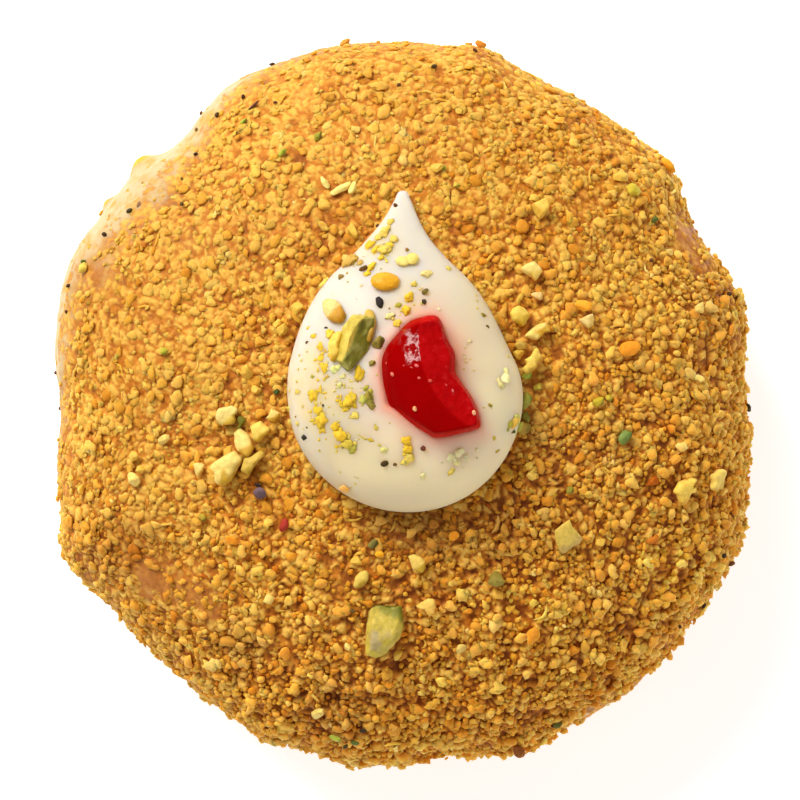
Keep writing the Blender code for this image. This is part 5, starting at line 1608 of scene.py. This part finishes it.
# ------------------------------------------------------------------ the stage
def make_stage():
    """Pale floor, soft key light from the upper left, soft fill all round, and the camera straight above."""
    scene = bpy.context.scene
    bpy.ops.mesh.primitive_plane_add(size=6.0, location=(0, 0, -0.0002))
    floor = bpy.context.object
    floor.name = "floor"
    paint = Look(
        "floor_white", Base_Color=(0.80, 0.80, 0.80), Roughness=0.9, Specular_IOR_Level=0.1,
        Emission_Color=(1.0, 1.0, 1.0), Emission_Strength=0.6,
    )
    floor.data.materials.append(paint.material)

    world = bpy.data.worlds.new("studio")
    world.use_nodes = True
    sky = world.node_tree.nodes
    link = world.node_tree.links.new
    sky["Background"].inputs["Strength"].default_value = 1.0
    # A pale room whose ceiling is darker than its walls.
    ramp, split, where = sky.new("ShaderNodeValToRGB"), sky.new("ShaderNodeSeparateXYZ"), sky.new("ShaderNodeTexCoord")
    ramp.color_ramp.elements[0].position, ramp.color_ramp.elements[0].color = 0.35, (0.58, 0.57, 0.56, 1.0)
    ramp.color_ramp.elements[1].position, ramp.color_ramp.elements[1].color = 0.95, (0.30, 0.295, 0.29, 1.0)
    link(where.outputs["Generated"], split.inputs[0])
    link(split.outputs["Z"], ramp.inputs["Fac"])
    link(ramp.outputs["Color"], sky["Background"].inputs["Color"])
    scene.world = world

    def area(name, place, size, power, colour):
        light = bpy.data.lights.new(name, "AREA")
        light.shape = "SQUARE"
        light.size = size
        light.energy = power
        light.color = colour
        lamp = bpy.data.objects.new(name, light)
        lamp.location = place
        direction = -np.array(place, float)
        direction[2] += 0.03
        yaw = math.atan2(direction[1], direction[0])
        pitch = math.acos(-direction[2] / np.linalg.norm(direction))
        lamp.rotation_euler = (pitch, 0.0, yaw - math.pi / 2)
        scene.collection.objects.link(lamp)
        return lamp

    turn, rise, away = math.radians(125.0), math.radians(42.0), 1.2
    key = (away * math.cos(rise) * math.cos(turn), away * math.cos(rise) * math.sin(turn), away * math.sin(rise))
    area("key", key, 0.66, 17.0, (1.0, 0.975, 0.94))
    area("fill", (0.95, -0.95, 0.55), 1.1, 3.6, (1.0, 0.99, 0.98))

    lens = bpy.data.cameras.new("camera")
    lens.sensor_width = 36.0
    lens.sensor_fit = "HORIZONTAL"
    lens.lens = 36.0 * VIEW_MM / (800.0 / PX_MM)
    camera = bpy.data.objects.new("camera", lens)
    camera.location = (CAM_X * MM, CAM_Y * MM, (VIEW_MM + BELT_Z) * MM)
    scene.collection.objects.link(camera)
    scene.camera = camera
    scene.view_settings.view_transform = "Standard"
    scene.view_settings.look = "None"
    scene.view_settings.exposure = 0.0
    scene.view_settings.gamma = 1.0


make_stage()
make_bun()
make_cream()
make_cherry()
nuts = nut_look("nut_flesh")
for node in LARGE:
    make_large_pistachio(node, nuts)

crumbs = crumb_look("toasted_crumbs")
KINDS = (("small", 6000, 0.29, 0.43), ("medium", 6000, 0.38, 0.54), ("clumps", 2450, 0.52, 0.90))
block_items()
sizes = np.concatenate([rng.uniform(low, high, n) for _, n, low, high in KINDS])
kinds = np.concatenate([np.full(n, k) for k, (_, n, _, _) in enumerate(KINDS)])
# Most of the small ones lie lowest, and the clumps come last.
mixed = np.argsort(rng.random(len(sizes)) + np.array([0.0, 0.35, 0.55])[kinds])
sizes, kinds = sizes[mixed], kinds[mixed]
all_spots, done = scatter(sizes, tries=2)
kinds = kinds[done]
make_crumbs("crumbs_small", icosphere(1, eight=True), all_spots[kinds == 0], 0.25, lobes=4, width=0.26, squash=(0.65, 1.0), look=crumbs)
make_crumbs("crumbs_medium", icosphere(1, eight=True), all_spots[kinds == 1], 0.25, lobes=6, width=0.22, squash=(0.65, 1.0), look=crumbs)
make_crumbs("crumb_clumps", icosphere(1), all_spots[kinds == 2], 0.22, lobes=13, width=0.13, squash=(0.6, 1.0), look=crumbs)
edge_spots, _ = scatter(rng.uniform(0.32, 0.66, 1200), tries=1, sink=0.60, where=loose_at_edge)
make_crumbs("crumbs_on_dough", icosphere(0), edge_spots, 0.30, look=crumbs, flat=0.6)
make_shreds("crumb_shreds", 90, crumbs)

make_outlined("nut_pieces", nuts)
make_items("nut_chunks", CHUNKS, 2, "pistachio", nuts, 10, 0.08, smooth=False)
make_items("pistachio_bits", GREENS, 2, "pistachio", nuts, 9, 0.07, smooth=False, skin=1.0)
make_items("orange_crumbs", ORANGES, 2, "crumb_crust", crumbs, 3, 0.14)
make_items("seeds", SEEDS, 3, "pistachio", nut_look("seed_coat", 0.42), 0, 0.05, tip=0.05)
make_items("dark_specks", SPECKS, 1, "crumb_crust", nut_look("toasted_specks", 0.75), 3, 0.12)
make_items("cherry_crumbs", CHERRY_BITS, 1, "crumb_crust", nut_look("cherry_crumb", 0.35), 2, 0.12, sink=0.3, tip=0.0)
soft_nut = nut_look("nut_crumb", 0.6, soft=0.5)
make_items("pistachio_lumps", [(px, py, 1.15 * a, 1.15 * b, *rest) for px, py, a, b, *rest in LUMPS], 2, "pistachio", soft_nut, 2, 0.28, sink=0.38, tip=0.0, grainy=0.20)
make_dust("pistachio_dust", soft_nut)


# ------------------------------------------------------------------ seating
def corners_of(name):
    """(points in mm, triangles) of a finished piece."""
    mesh = bpy.data.objects[name].data
    mesh.calc_loop_triangles()
    points = np.empty(len(mesh.vertices) * 3)
    mesh.vertices.foreach_get("co", points)
    faces = np.empty(len(mesh.loop_triangles) * 3, np.int32)
    mesh.loop_triangles.foreach_get("vertices", faces)
    return points.reshape(-1, 3) / MM, faces.reshape(-1, 3)


def settle(names, below):
    """Each grain of these pieces that hangs clear of what is below it moves onto it, by the shortest way."""
    points, faces, count = [], [], 0
    for name in below:
        p, f = corners_of(name)
        points.append(p)
        faces.append(f + count)
        count += len(p)
    tree = BVHTree.FromPolygons(np.concatenate(points).tolist(), np.concatenate(faces).tolist())
    for name in names:
        p, f = corners_of(name)
        who = np.arange(len(p))
        while True:
            least = who[f].min(axis=1)
            new = who.copy()
            for c in range(3):
                np.minimum.at(new, f[:, c], least)
            new = new[new]
            if (new == who).all():
                break
            who = new
        nearest = [tree.find_nearest(v) for v in p.tolist()]
        gap = np.array([n[3] for n in nearest])
        order = np.lexsort((gap, who))
        first = order[np.unique(who[order], return_index=True)[1]]
        for k in first[gap[first] > 0.03]:
            way = np.array(nearest[k][0]) - p[k]
            p[who == who[k]] += way * (1.0 + 0.12 / gap[k])
        mesh = bpy.data.objects[name].data
        mesh.vertices.foreach_set("co", (p * MM).ravel())
        mesh.update()


settle(
    ["nut_pieces", "nut_chunks", "pistachio_bits", "orange_crumbs", "seeds", "dark_specks", "pistachio_lumps", "pistachio_dust", "crumb_shreds", "crumbs_on_dough"],
    ["bun_fine", "cream_fine", "cherry_fine", "crumbs_small", "crumbs_medium", "crumb_clumps", "pistachio_on_cream_fine", "pistachio_on_crumbs_fine"],
)
